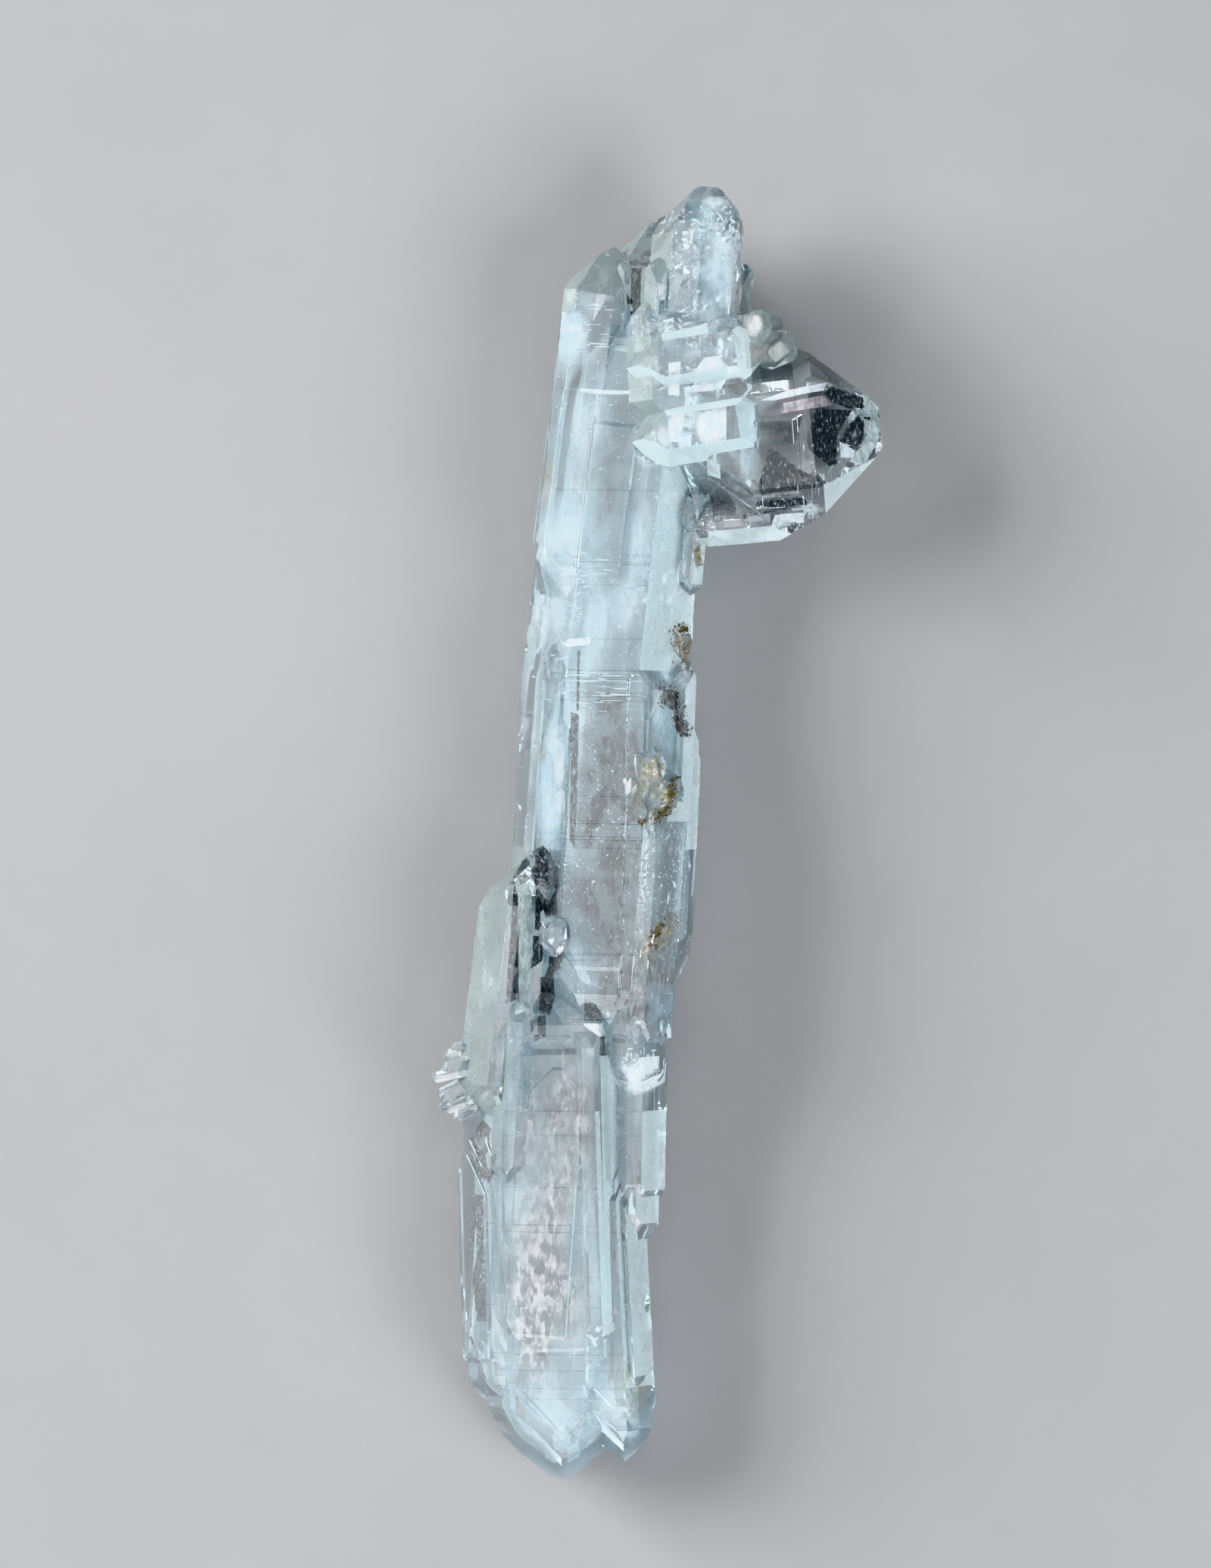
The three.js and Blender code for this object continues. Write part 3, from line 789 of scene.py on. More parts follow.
# %% Making the veils
VEILS = {
    # by name: the places, two colours, and what milk_stain_and_painted_light_material asks: size, low, high,
    # most, stretch and grain
    # milk, and painted highlights where the front is bright
    "milk_and_highlight_veils": (
        MILK_AND_HIGHLIGHT_VEILS,
        ((0.84, 0.93, 0.97), (1.0, 1.0, 1.0)),
        (1.5, 0.2, 0.66, 0.7, 0.9, 0.2),
    ),
    # milk, and painted light that brightens whole faces
    "milk_and_painted_light_veils": (
        MILK_AND_PAINTED_LIGHT_VEILS,
        ((0.6, 0.78, 0.86), (0.86, 0.96, 1.0)),
        (3.0, 0.1, 0.7, 0.55, 0.5, 0.15),
    ),
    # grey milk, with painted shade in its dark end
    "streak_and_shade_veils": (
        STREAK_AND_SHADE_VEILS,
        ((0.12, 0.105, 0.105), (0.62, 0.56, 0.55)),
        (1.1, 0.28, 0.66, 0.75, 0.12, 0.2),
    ),
    # painted highlights
    "painted_glint_veils": (
        PAINTED_GLINT_VEILS,
        ((0.95, 0.98, 1.0), (1.0, 1.0, 1.0)),
        (2.0, 0.1, 0.5, 1.0, 0.8, 0.1),
    ),
    # painted shade, mottled
    "mottled_shade_veils": (
        MOTTLED_SHADE_VEILS,
        ((0.004, 0.008, 0.01), (0.08, 0.115, 0.12)),
        (1.7, 0.38, 0.6, 0.95, 0.8, 0.6),
    ),
    "shade_veils": (
        SHADE_VEILS,
        ((0.01, 0.025, 0.035), (0.06, 0.11, 0.14)),
        (1.5, 0.25, 0.65, 0.42, 0.9, 0.3),
    ),
}
for veil_name, (places, colours, milkiness) in VEILS.items():
    veil_shape = bmesh.new()
    for veil in places:
        add_skin(veil_shape, *veil, rim=VEIL_RIM)
    veils = as_piece(veil_name, veil_shape, milk_stain_and_painted_light_material(veil_name, colours, *milkiness))
    print(veil_name, "faces:", len(veil_shape.faces))

# %% [markdown]
# Looked at from the front, single inner faces of the crystals flash white or turn dark, with straight crisp
# borders. The real ones mirror faces and breaks deeper in, which the photograph doesn't show, so that light
# and shade is painted here: each pane is drawn as a polygon on the plan, cut into small triangles, and laid
# just under the front face, the dark ones as painted shade and the white ones as painted highlights.

# %% Panes
PANE_DEPTH = 0.3 * MM
PANE_CUTS = 3  # a pane's triangles are cut this often along each side, so that they follow the front

# %% Where the painted shade panes lie
PAINTED_SHADE_PANES = (
    # painted shade in the clear windows of the big side crystal
    (
        (15.7, 28.1), (18.5, 28.1), (17.9, 27.2), (17.3, 26.1),
        (17.3, 24.0), (16.7, 23.8), (15.3, 24.9), (15.0, 25.7),
    ),
    (
        (12.2, 25.1), (12.7, 25.0), (14.6, 23.5), (16.5, 22.6),
        (16.1, 22.3), (11.7, 21.7), (11.4, 22.2), (11.8, 23.7),
    ),
    ((11.4, 21.2), (14.9, 21.5), (15.1, 21.0), (10.7, 20.1)),
    ((7.5, 21.4), (9.9, 21.8), (9.8, 20.0), (7.5, 19.5)),
    ((14.9, 32.0), (15.4, 31.9), (17.7, 30.1), (16.8, 30.2)),
    ((16.3, 29.3), (16.9, 29.8), (19.3, 29.1), (19.5, 28.3), (18.3, 28.2), (17.0, 28.6)),
    ((18.2, 27.0), (19.0, 27.8), (19.4, 27.2), (19.3, 25.5), (18.8, 25.0), (17.5, 25.7)),
    # grooves beside the top crystal
    ((6.2, 43.1), (4.8, 41.7), (3.1, 40.3), (2.1, 39.4), (3.1, 39.0), (4.2, 40.2), (4.9, 41.4)),
    ((1.6, 38.9), (3.1, 39.0), (3.0, 36.4), (1.9, 35.2), (1.5, 36.3)),
    # the slits and windows of the lower left crystal
    (
        (-5.6, -5.2), (-4.7, -4.6), (-4.3, -5.0), (-3.7, -6.3), (-3.5, -9.8),
        (-4.6, -10.0), (-4.9, -11.1), (-5.4, -10.9), (-5.3, -7.8), (-5.5, -6.9),
    ),
    ((-6.9, -7.8), (-6.6, -7.8), (-6.6, -11.4), (-6.6, -16.1), (-7.5, -16.5), (-7.3, -13.4), (-7.1, -10.9)),
    ((-5.5, -11.4), (-4.6, -11.5), (-4.9, -13.4), (-5.7, -13.9)),
    (
        (-4.2, -12.3), (-3.1, -12.5), (-3.3, -13.9), (-3.8, -14.2), (-3.8, -16.1),
        (-4.2, -17.5), (-5.0, -17.2), (-5.0, -14.6), (-4.5, -14.5), (-4.2, -13.6),
    ),
    ((-5.7, -17.7), (-4.5, -17.5), (-4.5, -19.0), (-5.7, -19.6)),
    # the middle: a notch, a thin seam, a groove, and the dark middle of the front
    ((-1.6, -16.1), (-0.3, -16.7), (-0.3, -17.9), (-1.6, -17.9)),
    ((-0.5, -19.0), (-0.1, -19.0), (0.2, -25.3), (0.3, -29.9), (0.0, -29.9), (-0.2, -25.3)),
    ((-2.6, 5.4), (-2.0, 5.2), (-2.1, -0.2), (-2.3, -4.8), (-2.7, -4.2), (-2.6, 2.1)),
    ((-2.1, 10.0), (-1.9, 10.0), (-2.0, 5.5), (-2.2, 5.5)),
    # the lower end
    ((-9.1, -25.4), (-8.3, -26.3), (-8.1, -28.2), (-8.7, -30.1), (-9.5, -29.8), (-9.9, -27.7), (-9.7, -25.9)),
    ((-9.9, -31.0), (-9.1, -31.0), (-9.0, -40.5), (-9.6, -40.5), (-10.2, -35.7)),
)

# %% Where the painted highlight, pale and rose panes lie
PAINTED_HIGHLIGHT_PANES = (
    # painted highlights on the side crystal
    ((11.6, 28.7), (13.5, 29.4), (16.5, 30.1), (16.3, 29.5), (14.4, 29.1), (12.6, 28.7)),
    ((17.5, 25.7), (18.8, 25.3), (18.5, 24.5), (17.6, 24.5)),
    ((12.7, 20.3), (14.9, 20.5), (15.0, 19.8), (13.5, 19.7)),
    # painted highlights on the two in front of it
    ((6.6, 29.3), (6.7, 30.9), (7.4, 31.8), (8.6, 31.9), (8.5, 30.9), (8.0, 29.4)),
    ((4.7, 31.4), (5.6, 31.5), (5.5, 29.0), (4.7, 29.1)),
    ((7.0, 27.4), (7.9, 28.3), (9.0, 28.6), (9.0, 25.5), (7.4, 25.4)),
    ((4.7, 27.6), (5.9, 27.7), (5.6, 25.5), (4.7, 25.6)),
    ((3.0, 37.4), (4.9, 37.4), (4.9, 36.5), (3.0, 36.5)),  # the ends of the two ribs beside the top crystal
    ((0.7, 38.9), (1.5, 38.9), (1.5, 38.6), (0.7, 38.6)),
    ((3.3, 38.9), (5.0, 38.9), (5.0, 38.6), (3.2, 38.6)),
    ((-1.9, 29.7), (1.9, 29.5), (1.9, 29.3), (-1.9, 29.4)),  # the bright ledge
    ((-3.3, 10.9), (-1.1, 11.0), (-1.2, 10.5), (-2.9, 10.3)),
    ((-1.7, -18.1), (-0.3, -18.1), (-0.1, -19.0), (-0.6, -19.0)),
    ((2.5, -20.5), (4.5, -20.5), (4.4, -21.4), (2.6, -21.6)),  # the bright foot
    ((0.3, -22.1), (2.3, -22.5), (4.1, -21.8), (4.5, -21.1), (4.4, -22.6), (2.9, -23.2), (1.0, -23.0)),
    ((4.5, -18.3), (5.2, -18.5), (5.0, -19.1), (4.6, -19.1)),
)
PALE_PANES = (
    # the rim of the side crystal's tip, and the strip between the two slits of the lower left crystal
    (
        (19.3, 28.6), (19.4, 29.3), (20.3, 28.9), (20.9, 27.9), (20.9, 26.6),
        (19.4, 24.0), (18.2, 24.2), (19.6, 26.2), (19.9, 27.6),
    ),
    ((-6.6, -7.8), (-5.7, -7.2), (-5.5, -12.0), (-5.9, -17.0), (-6.8, -17.4), (-6.6, -16.1)),
)
PAINTED_ROSE_REFLECTION_PANES = (
    # a painted rose-tinted reflection in the side crystal
    ((13.3, 28.5), (16.2, 29.1), (17.0, 28.4), (13.1, 27.7)),
)

# %% A pane
def pane(corners):
    """A polygon of the plan, laid just under the front of the quartz."""
    shape = bmesh.new()
    fade = shape.verts.layers.float.new("fade")
    face = shape.faces.new([shape.verts.new((x, y, 0)) for x, y in corners])
    bmesh.ops.triangulate(shape, faces=[face])
    bmesh.ops.subdivide_edges(shape, edges=shape.edges, cuts=PANE_CUTS, use_grid_fill=True)
    lost = [v for v in shape.verts if top_of(v.co.x, v.co.y)[0] is None]
    bmesh.ops.delete(shape, geom=lost, context="VERTS")
    for v in shape.verts:
        v[fade] = 1.0
        v.co = top_of(v.co.x, v.co.y)[0] - Vector((0, 0, PANE_DEPTH))
    tear(shape)
    return shape


# %% Making the panes
PANES = {
    # by name: the polygons, two colours, how opaque, the grain size, and between which values the colours mix
    # dark panes are painted shade, bright ones painted highlights and rose ones a painted reflection; pale
    # ones give a plain pale tone
    "painted_shade_panes": (PAINTED_SHADE_PANES, ((0.006, 0.01, 0.014), (0.3, 0.36, 0.4)), 1.0, 0.35, (0.54, 0.72)),
    "painted_highlight_panes": (PAINTED_HIGHLIGHT_PANES, ((0.9, 0.95, 1.0), (1.0, 1.0, 1.0)), 0.95, 1.0, (0.42, 0.6)),
    "pale_panes": (PALE_PANES, ((0.42, 0.5, 0.49), (0.64, 0.71, 0.7)), 0.85, 1.0, (0.42, 0.6)),
    "painted_rose_reflection_panes": (PAINTED_ROSE_REFLECTION_PANES, ((0.4, 0.33, 0.36), (0.58, 0.5, 0.53)), 0.7, 1.0, (0.42, 0.6)),
}
for pane_name, (polygons, colours, most, size, tints) in PANES.items():
    pane_shape = bmesh.new()
    for corners in polygons:
        join(pane_shape, pane(corners))
    finish = milk_stain_and_painted_light_material(pane_name, colours, size, 0.1, 0.45, most, 1.0, 0.3, tints)
    panes = as_piece(pane_name, pane_shape, finish)
    print(pane_name, "faces:", len(pane_shape.faces))

# %% [markdown]
# The growth steps of the front show best where light runs along them, as fine level lines in groups. Those
# lines of light are painted highlights: each is a very narrow white veil, a few millimetres long, that lies
# in the face.

# %% Growth lines, painted as highlights
LINE_GROUPS = (
    # low and high corner on the plan, how many lines, and their longest length in millimetres
    ((-2.4, 5.4), (1.2, 8.8), 26, 2.6),
    ((-5.6, 6.0), (-2.4, 10.0), 16, 1.6),
    ((-3.6, 15.6), (0.4, 17.4), 16, 2.2),
    ((0.4, 13.6), (3.6, 15.2), 6, 1.6),
    ((-2.6, 32.4), (0.6, 36.4), 20, 2.2),
    ((-4.6, 22.0), (3.4, 31.0), 18, 0.9),
    ((-3.8, 10.8), (3.4, 15.4), 14, 1.2),
    ((-6.6, -4.0), (-2.8, 4.6), 12, 0.9),
    ((5.0, -4.0), (7.0, 9.0), 22, 0.8),
    ((-4.0, -20.0), (2.0, -10.0), 12, 0.7),
)
LINE_WIDTH = 0.09  # millimetres
LINE_DEPTH = 0.05

# %% Making the painted highlights of the growth lines
line_shape = bmesh.new()
drawn = random.Random(13)
for low, high, count, longest in LINE_GROUPS:
    for _ in range(count):
        middle = (drawn.uniform(low[0], high[0]), drawn.uniform(low[1], high[1]))
        length = longest * drawn.uniform(0.3, 1)
        width = LINE_WIDTH * drawn.uniform(0.7, 1.8)
        add_skin(line_shape, middle, (length, width), drawn.uniform(-4, 1), LINE_DEPTH)
line_highlight_film = milk_stain_and_painted_light_material("painted_step_highlight", ((0.85, 0.93, 1.0), (1.0, 1.0, 1.0)), 0.8, 0.1, 0.45, 0.9, 1.0, 0.2)
lines = as_piece("painted_step_highlights", line_shape, line_highlight_film)
print("faces in the growth lines:", len(line_shape.faces))

# %% [markdown]
# The sparkle comes from cracks and bubbles. A crack holds a film of air, which shines like a mirror where
# it faces a light and stays grey elsewhere, so the cracks are small metal-bright discs. They gather in the
# top crystal and down the right side. The bubbles are thousands of tiny white flecks. Both are scattered at
# random in soft balls, and only those that fit inside the quartz are kept.

# %% Many small shapes
BATCH = 40  # an operator slows down as its mesh grows, so small shapes are made in batches


def add_many(shape, make, wanted):
    """Calls make(batch, one) for every one of wanted, and adds the batches to the shape."""
    for start in range(0, len(wanted), BATCH):
        batch = bmesh.new()
        for one in wanted[start : start + BATCH]:
            make(batch, one)
        join(shape, batch)


# %% Places in a cloud
TUMBLE = 0.8  # how far, in radians, the shapes tip away from lying level
TRIES = 6  # how often a place is looked for, for each shape that is wanted
COVER = 0.1 * MM  # how much quartz a shape keeps over itself


def cloud_places(cloud, drawn, squash):
    """Places, turns and sizes of what fills a soft ball, as far as it fits in the quartz."""
    middle, reach, count, (small, large) = cloud
    found = []
    for _ in range(count * TRIES):
        place = spot(*(m + drawn.gauss(0, 0.5) * r for m, r in zip(middle, reach)))
        size = small + (large - small) * drawn.random() ** 3
        spin = Matrix.Rotation(drawn.uniform(0, math.tau), 4, "Z")
        turn = spin @ Matrix.Rotation(drawn.gauss(0, TUMBLE), 4, "X")
        if inside(place, COVER + size / 2 * MM):
            found.append((Matrix.Translation(place) @ turn @ squash(drawn), size))
        if len(found) == count:
            break
    return found


def all_places(clouds, drawn, squash):
    return [placed for cloud in clouds for placed in cloud_places(cloud, drawn, squash)]


# %% Cracks
CRACK_CORNERS = 9
CRACK_BULGE = 0.08  # how far a corner leaves the level, as a share of the size
CRACK_CLOUDS = (
    # middle, reach, count, and smallest and largest size, in millimetres
    ((7.2, 37.5, 9.0), (3.0, 7.0, 3.0), 230, (0.35, 2.2)),
    ((5.0, 31.5, 10.0), (4.4, 5.0, 3.0), 110, (0.35, 2.0)),
    ((5.6, 13.0, 6.5), (2.2, 10.0, 3.0), 130, (0.3, 1.8)),
    ((5.4, -5.0, 6.5), (2.4, 14.0, 3.0), 130, (0.3, 1.6)),
    ((-0.6, 8.0, 6.5), (5.0, 24.0, 3.0), 70, (0.2, 0.9)),
    ((-0.4, -6.0, 8.0), (3.0, 6.0, 1.4), 50, (0.2, 0.9)),
    ((2.4, -21.8, 8.0), (2.2, 1.6, 2.4), 40, (0.4, 1.6)),
    ((-3.6, -34.0, 5.0), (5.5, 14.0, 3.0), 60, (0.3, 1.2)),
    ((19.4, 25.8, 7.5), (1.6, 2.0, 2.4), 16, (0.4, 1.6)),
)

# %% A crack and its finish
def crack_squash(drawn):
    return Matrix.Diagonal((1, drawn.uniform(0.25, 0.9), 1, 1))


def add_crack(shape, placed):
    """A ragged, uneven disc, as a shell-shaped break is."""
    matrix, size = placed
    radius = size / 2 * MM
    made = bmesh.ops.create_circle(
        shape,
        cap_ends=True,
        cap_tris=True,
        segments=CRACK_CORNERS,
        radius=radius,
    )["verts"]
    for v in made:
        v.co *= drawn.uniform(0.55, 1.15)
        v.co.z = drawn.uniform(-CRACK_BULGE, CRACK_BULGE) * size * MM
    bmesh.ops.transform(shape, matrix=matrix, verts=made)


FILM_GRAIN = (1500, 1500, 1500)  # grains a metre


def crack_material():
    material = bpy.data.materials.new("air_crack")
    add, link = node_tools(material)
    where = add("ShaderNodeTexCoord")
    shader = add("ShaderNodeBsdfPrincipled", {"Base Color": (0.97, 0.99, 1.0, 1), "Metallic": 1.0})
    film = add_noise(add, link, where, FILM_GRAIN, 5, 0.7)
    link(add_range(add, link, film, 0.4, 0.6, 0.15, 0.95), shader.inputs["Alpha"])
    link(add_range(add, link, film, 0.4, 0.6, 0.35, 0.08), shader.inputs["Roughness"])
    finish_surface(add, link, shader)
    return material


# %% Making the cracks
drawn = random.Random(21)
crack_shape = bmesh.new()
add_many(crack_shape, add_crack, all_places(CRACK_CLOUDS, drawn, crack_squash))
cracks = as_piece("cracks", crack_shape, crack_material())
print("faces in the cracks:", len(crack_shape.faces))

# %% [markdown]
# Flakes, flecks, crust and the floor share one opaque finish. A noise picks between a few colours that lie
# close together, because a single flat colour looks like paint, and the same noise lifts the grain of the
# crust.

# %% An opaque finish
COLOURS_FROM, COLOURS_OVER = 0.35, 0.3  # the stretch of the noise over which the colours change


def mottled_material(name, colours, roughness, size, bump_depth=0.0):
    """An opaque finish that wanders between several colours, by a noise of that size in millimetres."""
    material = bpy.data.materials.new(name)
    add, link = node_tools(material)
    where = add("ShaderNodeTexCoord")
    per_metre = 1 / (size * MM)
    pattern = add_noise(add, link, where, (per_metre, per_metre, per_metre), 5, 0.65)
    ramp = add("ShaderNodeValToRGB")
    ramp.color_ramp.elements.remove(ramp.color_ramp.elements[1])
    ramp.color_ramp.elements[0].position = COLOURS_FROM
    ramp.color_ramp.elements[0].color = (*colours[0], 1)
    for i, colour in enumerate(colours[1:], start=1):
        place = COLOURS_FROM + COLOURS_OVER * i / (len(colours) - 1)
        ramp.color_ramp.elements.new(place).color = (*colour, 1)
    link(pattern, ramp.inputs["Fac"])
    shader = add("ShaderNodeBsdfPrincipled", {"Roughness": roughness})
    link(ramp.outputs["Color"], shader.inputs["Base Color"])
    if bump_depth:
        bump = add("ShaderNodeBump", {"Strength": 0.6, "Distance": bump_depth * MM})
        link(pattern, bump.inputs["Height"])
        link(bump.outputs[0], shader.inputs["Normal"])
    finish_surface(add, link, shader)
    return material


# %% [markdown]
# Where a film of air has broken up it scatters the light and looks white. The flakes are the same ragged
# discs as the cracks, only slimmer, closer under the faces and opaque.

# %% White flakes
FLAKE_CLOUDS = (
    # middle, reach, count, and smallest and largest size, in millimetres
    ((9.2, 39.9, 9.8), (1.7, 3.4, 1.6), 110, (0.15, 1.8)),
    ((7.4, 34.6, 10.0), (2.4, 2.4, 1.6), 80, (0.15, 1.6)),
    ((7.6, 41.6, 9.4), (2.4, 3.4, 1.6), 40, (0.15, 1.2)),
    ((6.0, 30.4, 11.4), (4.4, 2.6, 1.4), 60, (0.2, 1.4)),
    ((6.4, 20.5, 8.2), (1.8, 4.0, 1.4), 70, (0.2, 1.2)),
    ((6.4, 7.0, 7.4), (1.6, 6.0, 1.4), 80, (0.2, 1.1)),
    ((6.0, -5.0, 7.6), (2.0, 9.0, 1.4), 80, (0.15, 0.9)),
    ((-0.6, -6.6, 9.2), (3.8, 2.2, 1.2), 30, (0.08, 0.45)),
    ((-2.6, 13.6, 9.2), (2.6, 3.6, 0.8), 40, (0.1, 0.6)),
    ((2.8, -21.6, 8.0), (2.2, 1.8, 1.4), 50, (0.2, 1.2)),
    ((-6.6, -20.5, 8.0), (1.6, 3.0, 1.2), 30, (0.15, 0.8)),
    ((18.0, 25.6, 8.5), (1.8, 2.6, 1.8), 24, (0.2, 1.1)),
)

# %% Making the flakes
def flake_squash(drawn):
    return Matrix.Diagonal((1, drawn.uniform(0.12, 0.5), 1, 1))


flake_shape = bmesh.new()
add_many(flake_shape, add_crack, all_places(FLAKE_CLOUDS, drawn, flake_squash))
flake_colours = ((0.72, 0.8, 0.86), (1.0, 1.0, 1.0))
flake_finish = mottled_material("white_flake", flake_colours, 0.35, 0.5)
flakes = as_piece("white_flakes", flake_shape, flake_finish, smooth=False)
print("faces in the flakes:", len(flake_shape.faces))

# %% [markdown]
# The finest sparkle is bubbles, too small to show a shape. Each is a squashed ball of only twenty faces,
# because there are thousands of them.

# %% Bubble flecks
FLECK_CLOUDS = (
    # middle, reach, count, and smallest and largest size, in millimetres
    ((7.2, 37.5, 8.0), (2.8, 6.5, 3.0), 700, (0.04, 0.24)),
    ((4.8, 30.5, 9.0), (4.2, 5.0, 3.0), 400, (0.04, 0.22)),
    ((5.6, 13.0, 6.0), (2.4, 11.0, 3.0), 900, (0.04, 0.22)),
    ((5.4, -8.0, 6.0), (2.4, 12.0, 3.0), 600, (0.04, 0.22)),
    ((-0.5, 16.0, 6.0), (4.5, 22.0, 3.0), 700, (0.03, 0.15)),
    ((-0.6, -4.0, 6.5), (4.0, 12.0, 3.0), 800, (0.03, 0.17)),
    ((-0.4, -5.0, 8.8), (3.0, 9.0, 1.0), 500, (0.04, 0.22)),
    ((-4.0, -34.0, 5.0), (5.5, 14.0, 3.0), 700, (0.03, 0.15)),
    ((-5.0, -12.0, 8.0), (2.0, 8.0, 2.0), 300, (0.03, 0.14)),
    ((17.0, 25.5, 7.0), (4.5, 5.0, 3.0), 200, (0.03, 0.14)),
)

# %% Making the flecks
def fleck_squash(drawn):
    return Matrix.Diagonal((1, drawn.uniform(0.4, 1), drawn.uniform(0.2, 0.5), 1))


def add_fleck(shape, placed):
    matrix, size = placed
    bmesh.ops.create_icosphere(shape, subdivisions=0, radius=size / 2 * MM, matrix=matrix)


fleck_shape = bmesh.new()
add_many(fleck_shape, add_fleck, all_places(FLECK_CLOUDS, drawn, fleck_squash))
fleck_colours = ((0.8, 0.88, 0.94), (1.0, 1.0, 1.0))
fleck_finish = mottled_material("white_fleck", fleck_colours, 0.3, 0.8)
flecks = as_piece("bubble_flecks", fleck_shape, fleck_finish, smooth=False)
print("faces in the flecks:", len(fleck_shape.faces))

# %% [markdown]
# Iron crust sits in the hollows of the front: beige at the rim, olive to dark brown in the middle, and
# plain grey in two rough spots. A painted spot would lie flat, so each patch is a heap of small uneven
# grains that lie on the surface.

# %% Iron crust
BEIGE = ((0.085, 0.07, 0.045), (0.175, 0.155, 0.115), (0.29, 0.275, 0.235))
OLIVE = ((0.012, 0.009, 0.004), (0.055, 0.044, 0.014), (0.14, 0.12, 0.05))
GREY = ((0.03, 0.03, 0.03), (0.09, 0.09, 0.09), (0.18, 0.18, 0.17))
CRUST_PATCHES = {
    # by name: the colours, and of each patch its middle, reach, turn in degrees and number of grains
    "beige": (
        BEIGE,
        (
            ((6.4, 10.0), (0.95, 1.5), 25, 330),
            ((5.4, 10.8), (0.5, 1.2), 20, 150),
            ((7.0, 17.3), (0.35, 0.95), 5, 90),
            ((3.6, 0.8), (1.0, 1.5), 0, 130),
            ((4.2, -11.6), (0.75, 1.9), -38, 240),
        ),
    ),
    "olive": (
        OLIVE,
        (
            ((5.9, 11.8), (0.55, 0.45), 0, 90),
            ((4.9, -0.6), (0.6, 1.2), -20, 170),
            ((4.2, -2.2), (1.0, 0.5), 30, 150),
            ((2.7, -2.8), (0.4, 0.25), 0, 40),
            ((3.9, -11.0), (0.4, 1.3), -38, 140),
        ),
    ),
    "grey": (
        GREY,
        (
            ((4.9, 6.5), (0.75, 1.25), 35, 330),
            ((5.7, 4.5), (0.6, 1.1), 30, 240),
        ),
    ),
}

# %% A patch of grains
GRAIN_SMALL, GRAIN_MORE = 0.09, 0.26  # the smallest grain, and how much larger the largest is, in millimetres


def crust_grains(patch, drawn):
    """Places and sizes of the grains of one patch, each on the surface under it."""
    (x, y), (wide, tall), turn, count = patch
    aside = Matrix.Rotation(math.radians(turn), 2)
    found = []
    for _ in range(count):
        offset = aside @ Vector((drawn.gauss(0, 0.45) * wide, drawn.gauss(0, 0.45) * tall))
        place, normal = top_of(x + offset.x, y + offset.y)
        size = GRAIN_SMALL + GRAIN_MORE * drawn.random() ** 2
        squash = Matrix.Diagonal((1, drawn.uniform(0.5, 1), drawn.uniform(0.3, 0.6), 1))
        spin = Matrix.Rotation(drawn.uniform(0, math.tau), 4, "Z")
        if place is not None:
            upright = normal.to_track_quat("Z", "Y").to_matrix().to_4x4()
            found.append((Matrix.Translation(place) @ upright @ spin @ squash, size))
    return found


def add_grain(shape, placed):
    matrix, size = placed
    made = bmesh.ops.create_icosphere(shape, subdivisions=1, radius=size / 2 * MM)["verts"]
    for v in made:
        v.co *= drawn.uniform(0.7, 1.2)
    bmesh.ops.transform(shape, matrix=matrix, verts=made)


# %% Making the crust
for colour_name, (colours, patches) in CRUST_PATCHES.items():
    crust_shape = bmesh.new()
    add_many(crust_shape, add_grain, [placed for patch in patches for placed in crust_grains(patch, drawn)])
    crust_finish = mottled_material(f"{colour_name}_crust", colours, 0.85, 0.5, 0.05)
    crust = as_piece(f"{colour_name}_crust", crust_shape, crust_finish, smooth=False)
    print(colour_name, "crust, faces:", len(crust_shape.faces))

# %% [markdown]
# Where the quartz is only stained, there is colour but nothing to feel. A stain is a thin film with a
# mottled alpha: the veils' own grid and finish, in a rusty colour, lifted a hair above the face.

# %% Stains
STAIN_LIFT = -0.03  # millimetres: a depth below nothing lies above the face
STAINS = {
    # by name: two colours, how strong, then middle, size and turn of each stain
    "beige_stain": (
        ((0.12, 0.115, 0.075), (0.25, 0.245, 0.19)),
        0.6,
        (
            ((3.9, -0.4), (4.4, 6.4), -10),
            ((4.1, -11.4), (2.8, 5.2), -38),
            ((6.1, 10.2), (2.8, 4.4), 20),
            ((-5.3, 2.2), (2.6, 1.8), 20),
            ((7.0, 17.2), (1.2, 3.0), 5),
        ),
    ),
    "rose_stain": (((0.46, 0.4, 0.36), (0.56, 0.51, 0.47)), 0.35, (((11.9, 33.5), (4.6, 4.8), 0),)),
    "yellow_stain": (
        ((0.26, 0.23, 0.1), (0.42, 0.4, 0.26)),
        0.5,
        (((2.2, -45.6), (2.4, 6.0), 4), ((-4.3, 22.6), (1.3, 4.6), -8), ((-5.0, 17.6), (1.1, 3.2), -8)),
    ),
}

# %% Making the stains
for stain_name, (colours, most, places) in STAINS.items():
    stain_shape = bmesh.new()
    for middle, size, turn in places:
        add_skin(stain_shape, middle, size, turn, STAIN_LIFT)
    film = milk_stain_and_painted_light_material(stain_name, colours, 1.6, 0.3, 0.66, most, 1.0, 0.3)
    stain = as_piece(stain_name, stain_shape, film)
    print(stain_name, "faces:", len(stain_shape.faces))

# %% [markdown]
# The floor is a plain pale sheet, a shade darker than the crystal's brightest faces, so that they stand out
# from it. Its grey wanders by a hundredth or so, as paper does.

# %% The floor
FLOOR_SIZE = 3.0
FLOOR_GAP = 0.02 * MM  # between the floor and the specimen, so that their faces don't fight
FLOOR_GRAIN = 40  # millimetres
FLOOR_GREYS = ((0.175, 0.176, 0.18), (0.187, 0.187, 0.191))


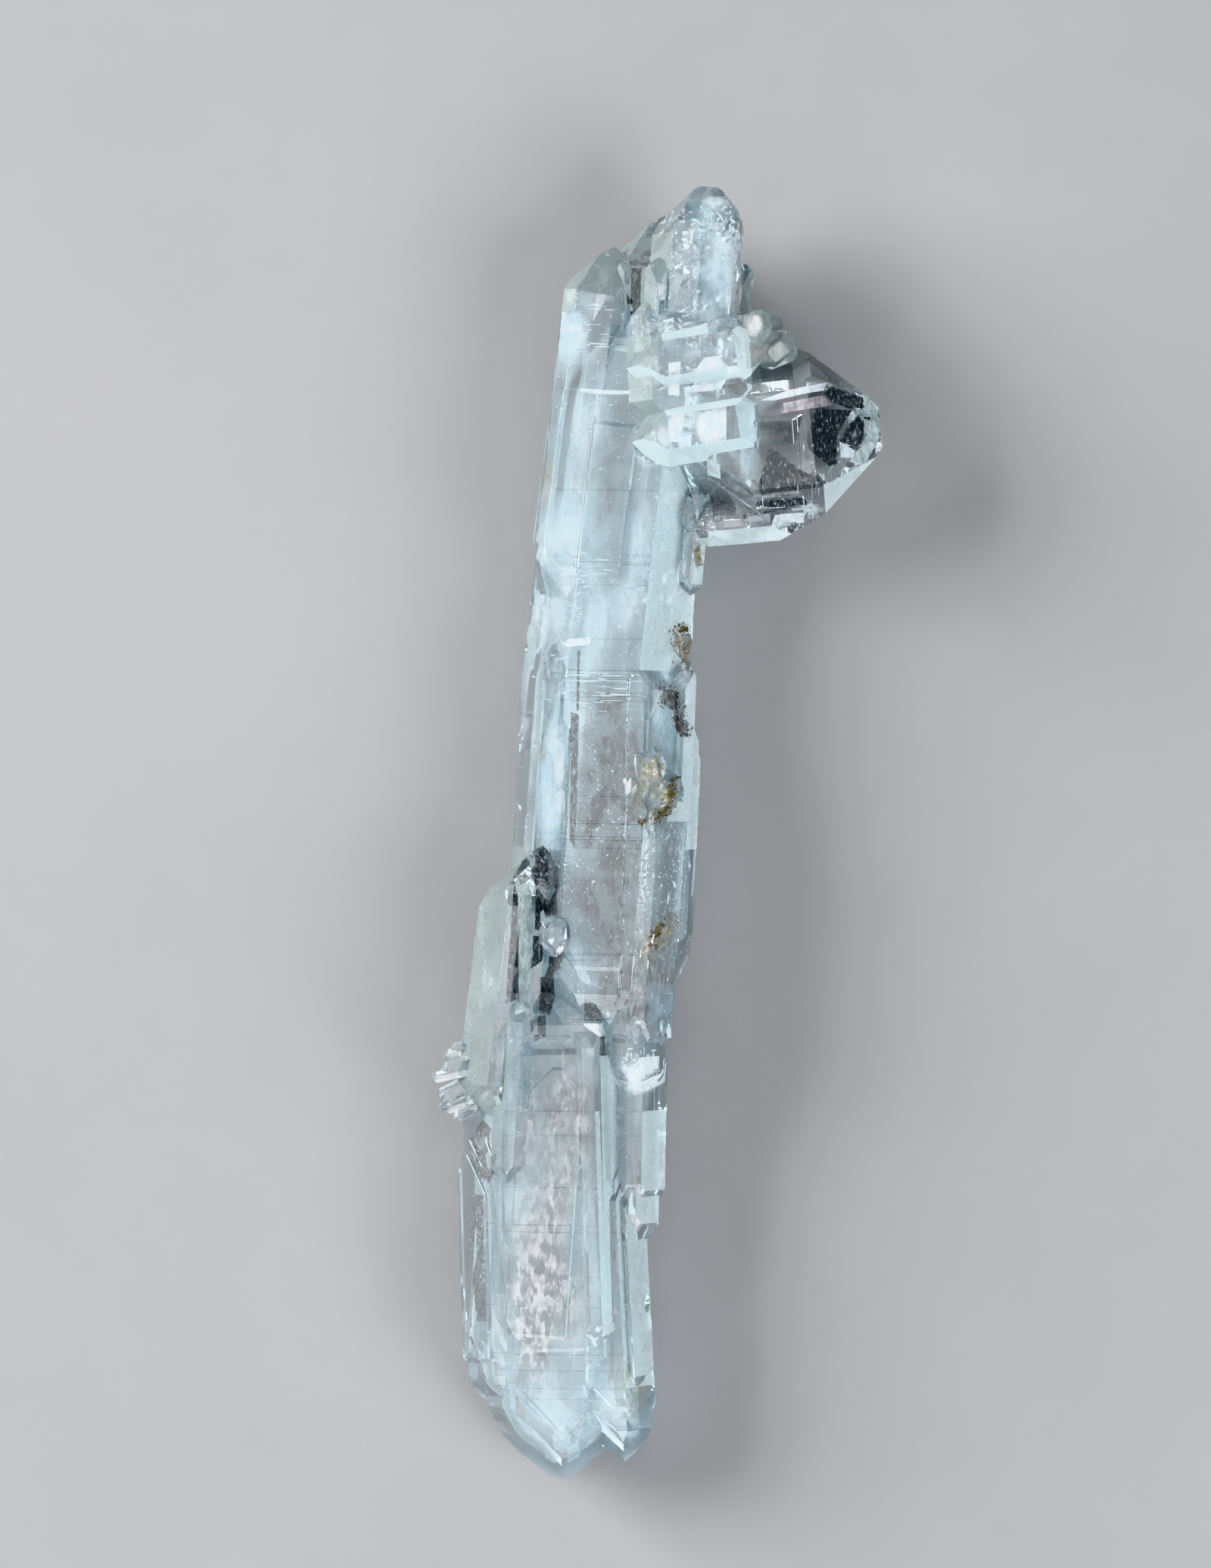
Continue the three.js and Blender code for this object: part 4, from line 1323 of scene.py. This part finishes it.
def make_floor():
    shape = bmesh.new()
    bmesh.ops.create_grid(shape, x_segments=1, y_segments=1, size=FLOOR_SIZE / 2)
    bmesh.ops.translate(shape, verts=shape.verts, vec=(0, 0, -FLOOR_GAP))
    mesh = bpy.data.meshes.new("floor")
    shape.to_mesh(mesh)
    mesh.materials.append(mottled_material("pale_floor", FLOOR_GREYS, 0.8, FLOOR_GRAIN))
    floor = bpy.data.objects.new("floor", mesh)
    bpy.context.scene.collection.objects.link(floor)


make_floor()
print("floor, metres:", FLOOR_SIZE)

# %% [markdown]
# Glass shows its lights more than itself, so the lights are large soft squares with dim room between them.
# The key stands where the left-hand faces mirror it to the camera, the fill brightens the right side, the
# low one in front lights the small end faces, and the overhead one fills the flat front.

# %% The light
ROOM_COLOUR = (0.8, 0.88, 1.0, 1)
ROOM_STRENGTH = 0.155
LIGHTS = (
    # name, place in metres, size in metres, power in watts, colour
    ("key", (-0.6, 0.22, 0.3), 0.42, 18.5, (1.0, 0.99, 0.97)),
    ("fill", (0.5, -0.3, 0.5), 0.4, 7.8, (0.95, 0.98, 1.0)),
    ("overhead", (0.1, 0.2, 1.1), 0.9, 5.3, (1.0, 1.0, 1.0)),
    ("low_front", (0.0, -0.65, 0.2), 0.5, 4.0, (1.0, 1.0, 1.0)),
)


def soft_light(name, place, size, power, colour):
    """A soft square light that faces the middle of the specimen."""
    data = bpy.data.lights.new(name, "AREA")
    data.shape = "SQUARE"
    data.size = size
    data.energy = power
    data.color = colour
    light = bpy.data.objects.new(name, data)
    light.location = place
    light.rotation_euler = Vector(place).to_track_quat("Z", "Y").to_euler()
    bpy.context.scene.collection.objects.link(light)


def make_room():
    world = bpy.data.worlds.new("studio")
    world.use_nodes = True
    background = world.node_tree.nodes["Background"]
    background.inputs["Color"].default_value = ROOM_COLOUR
    background.inputs["Strength"].default_value = ROOM_STRENGTH
    bpy.context.scene.world = world


make_room()
for light in LIGHTS:
    soft_light(*light)
print("lights, watts:", {name: power for name, _, _, power, _ in LIGHTS})

# %% [markdown]
# Two choices belong to the whole picture. The neutral view transform keeps the quartz's pale tints as they
# are set. And a look into the specimen crosses many see-through sheets, so more of them are allowed than
# usual.

# %% How the picture is drawn
VEILS_DEEP = 24  # how many see-through faces a look into the quartz may cross
bpy.context.scene.view_settings.view_transform = "Khronos PBR Neutral"
bpy.context.scene.cycles.transparent_max_bounces = VEILS_DEEP
print("see-through faces that a look may cross:", VEILS_DEEP)
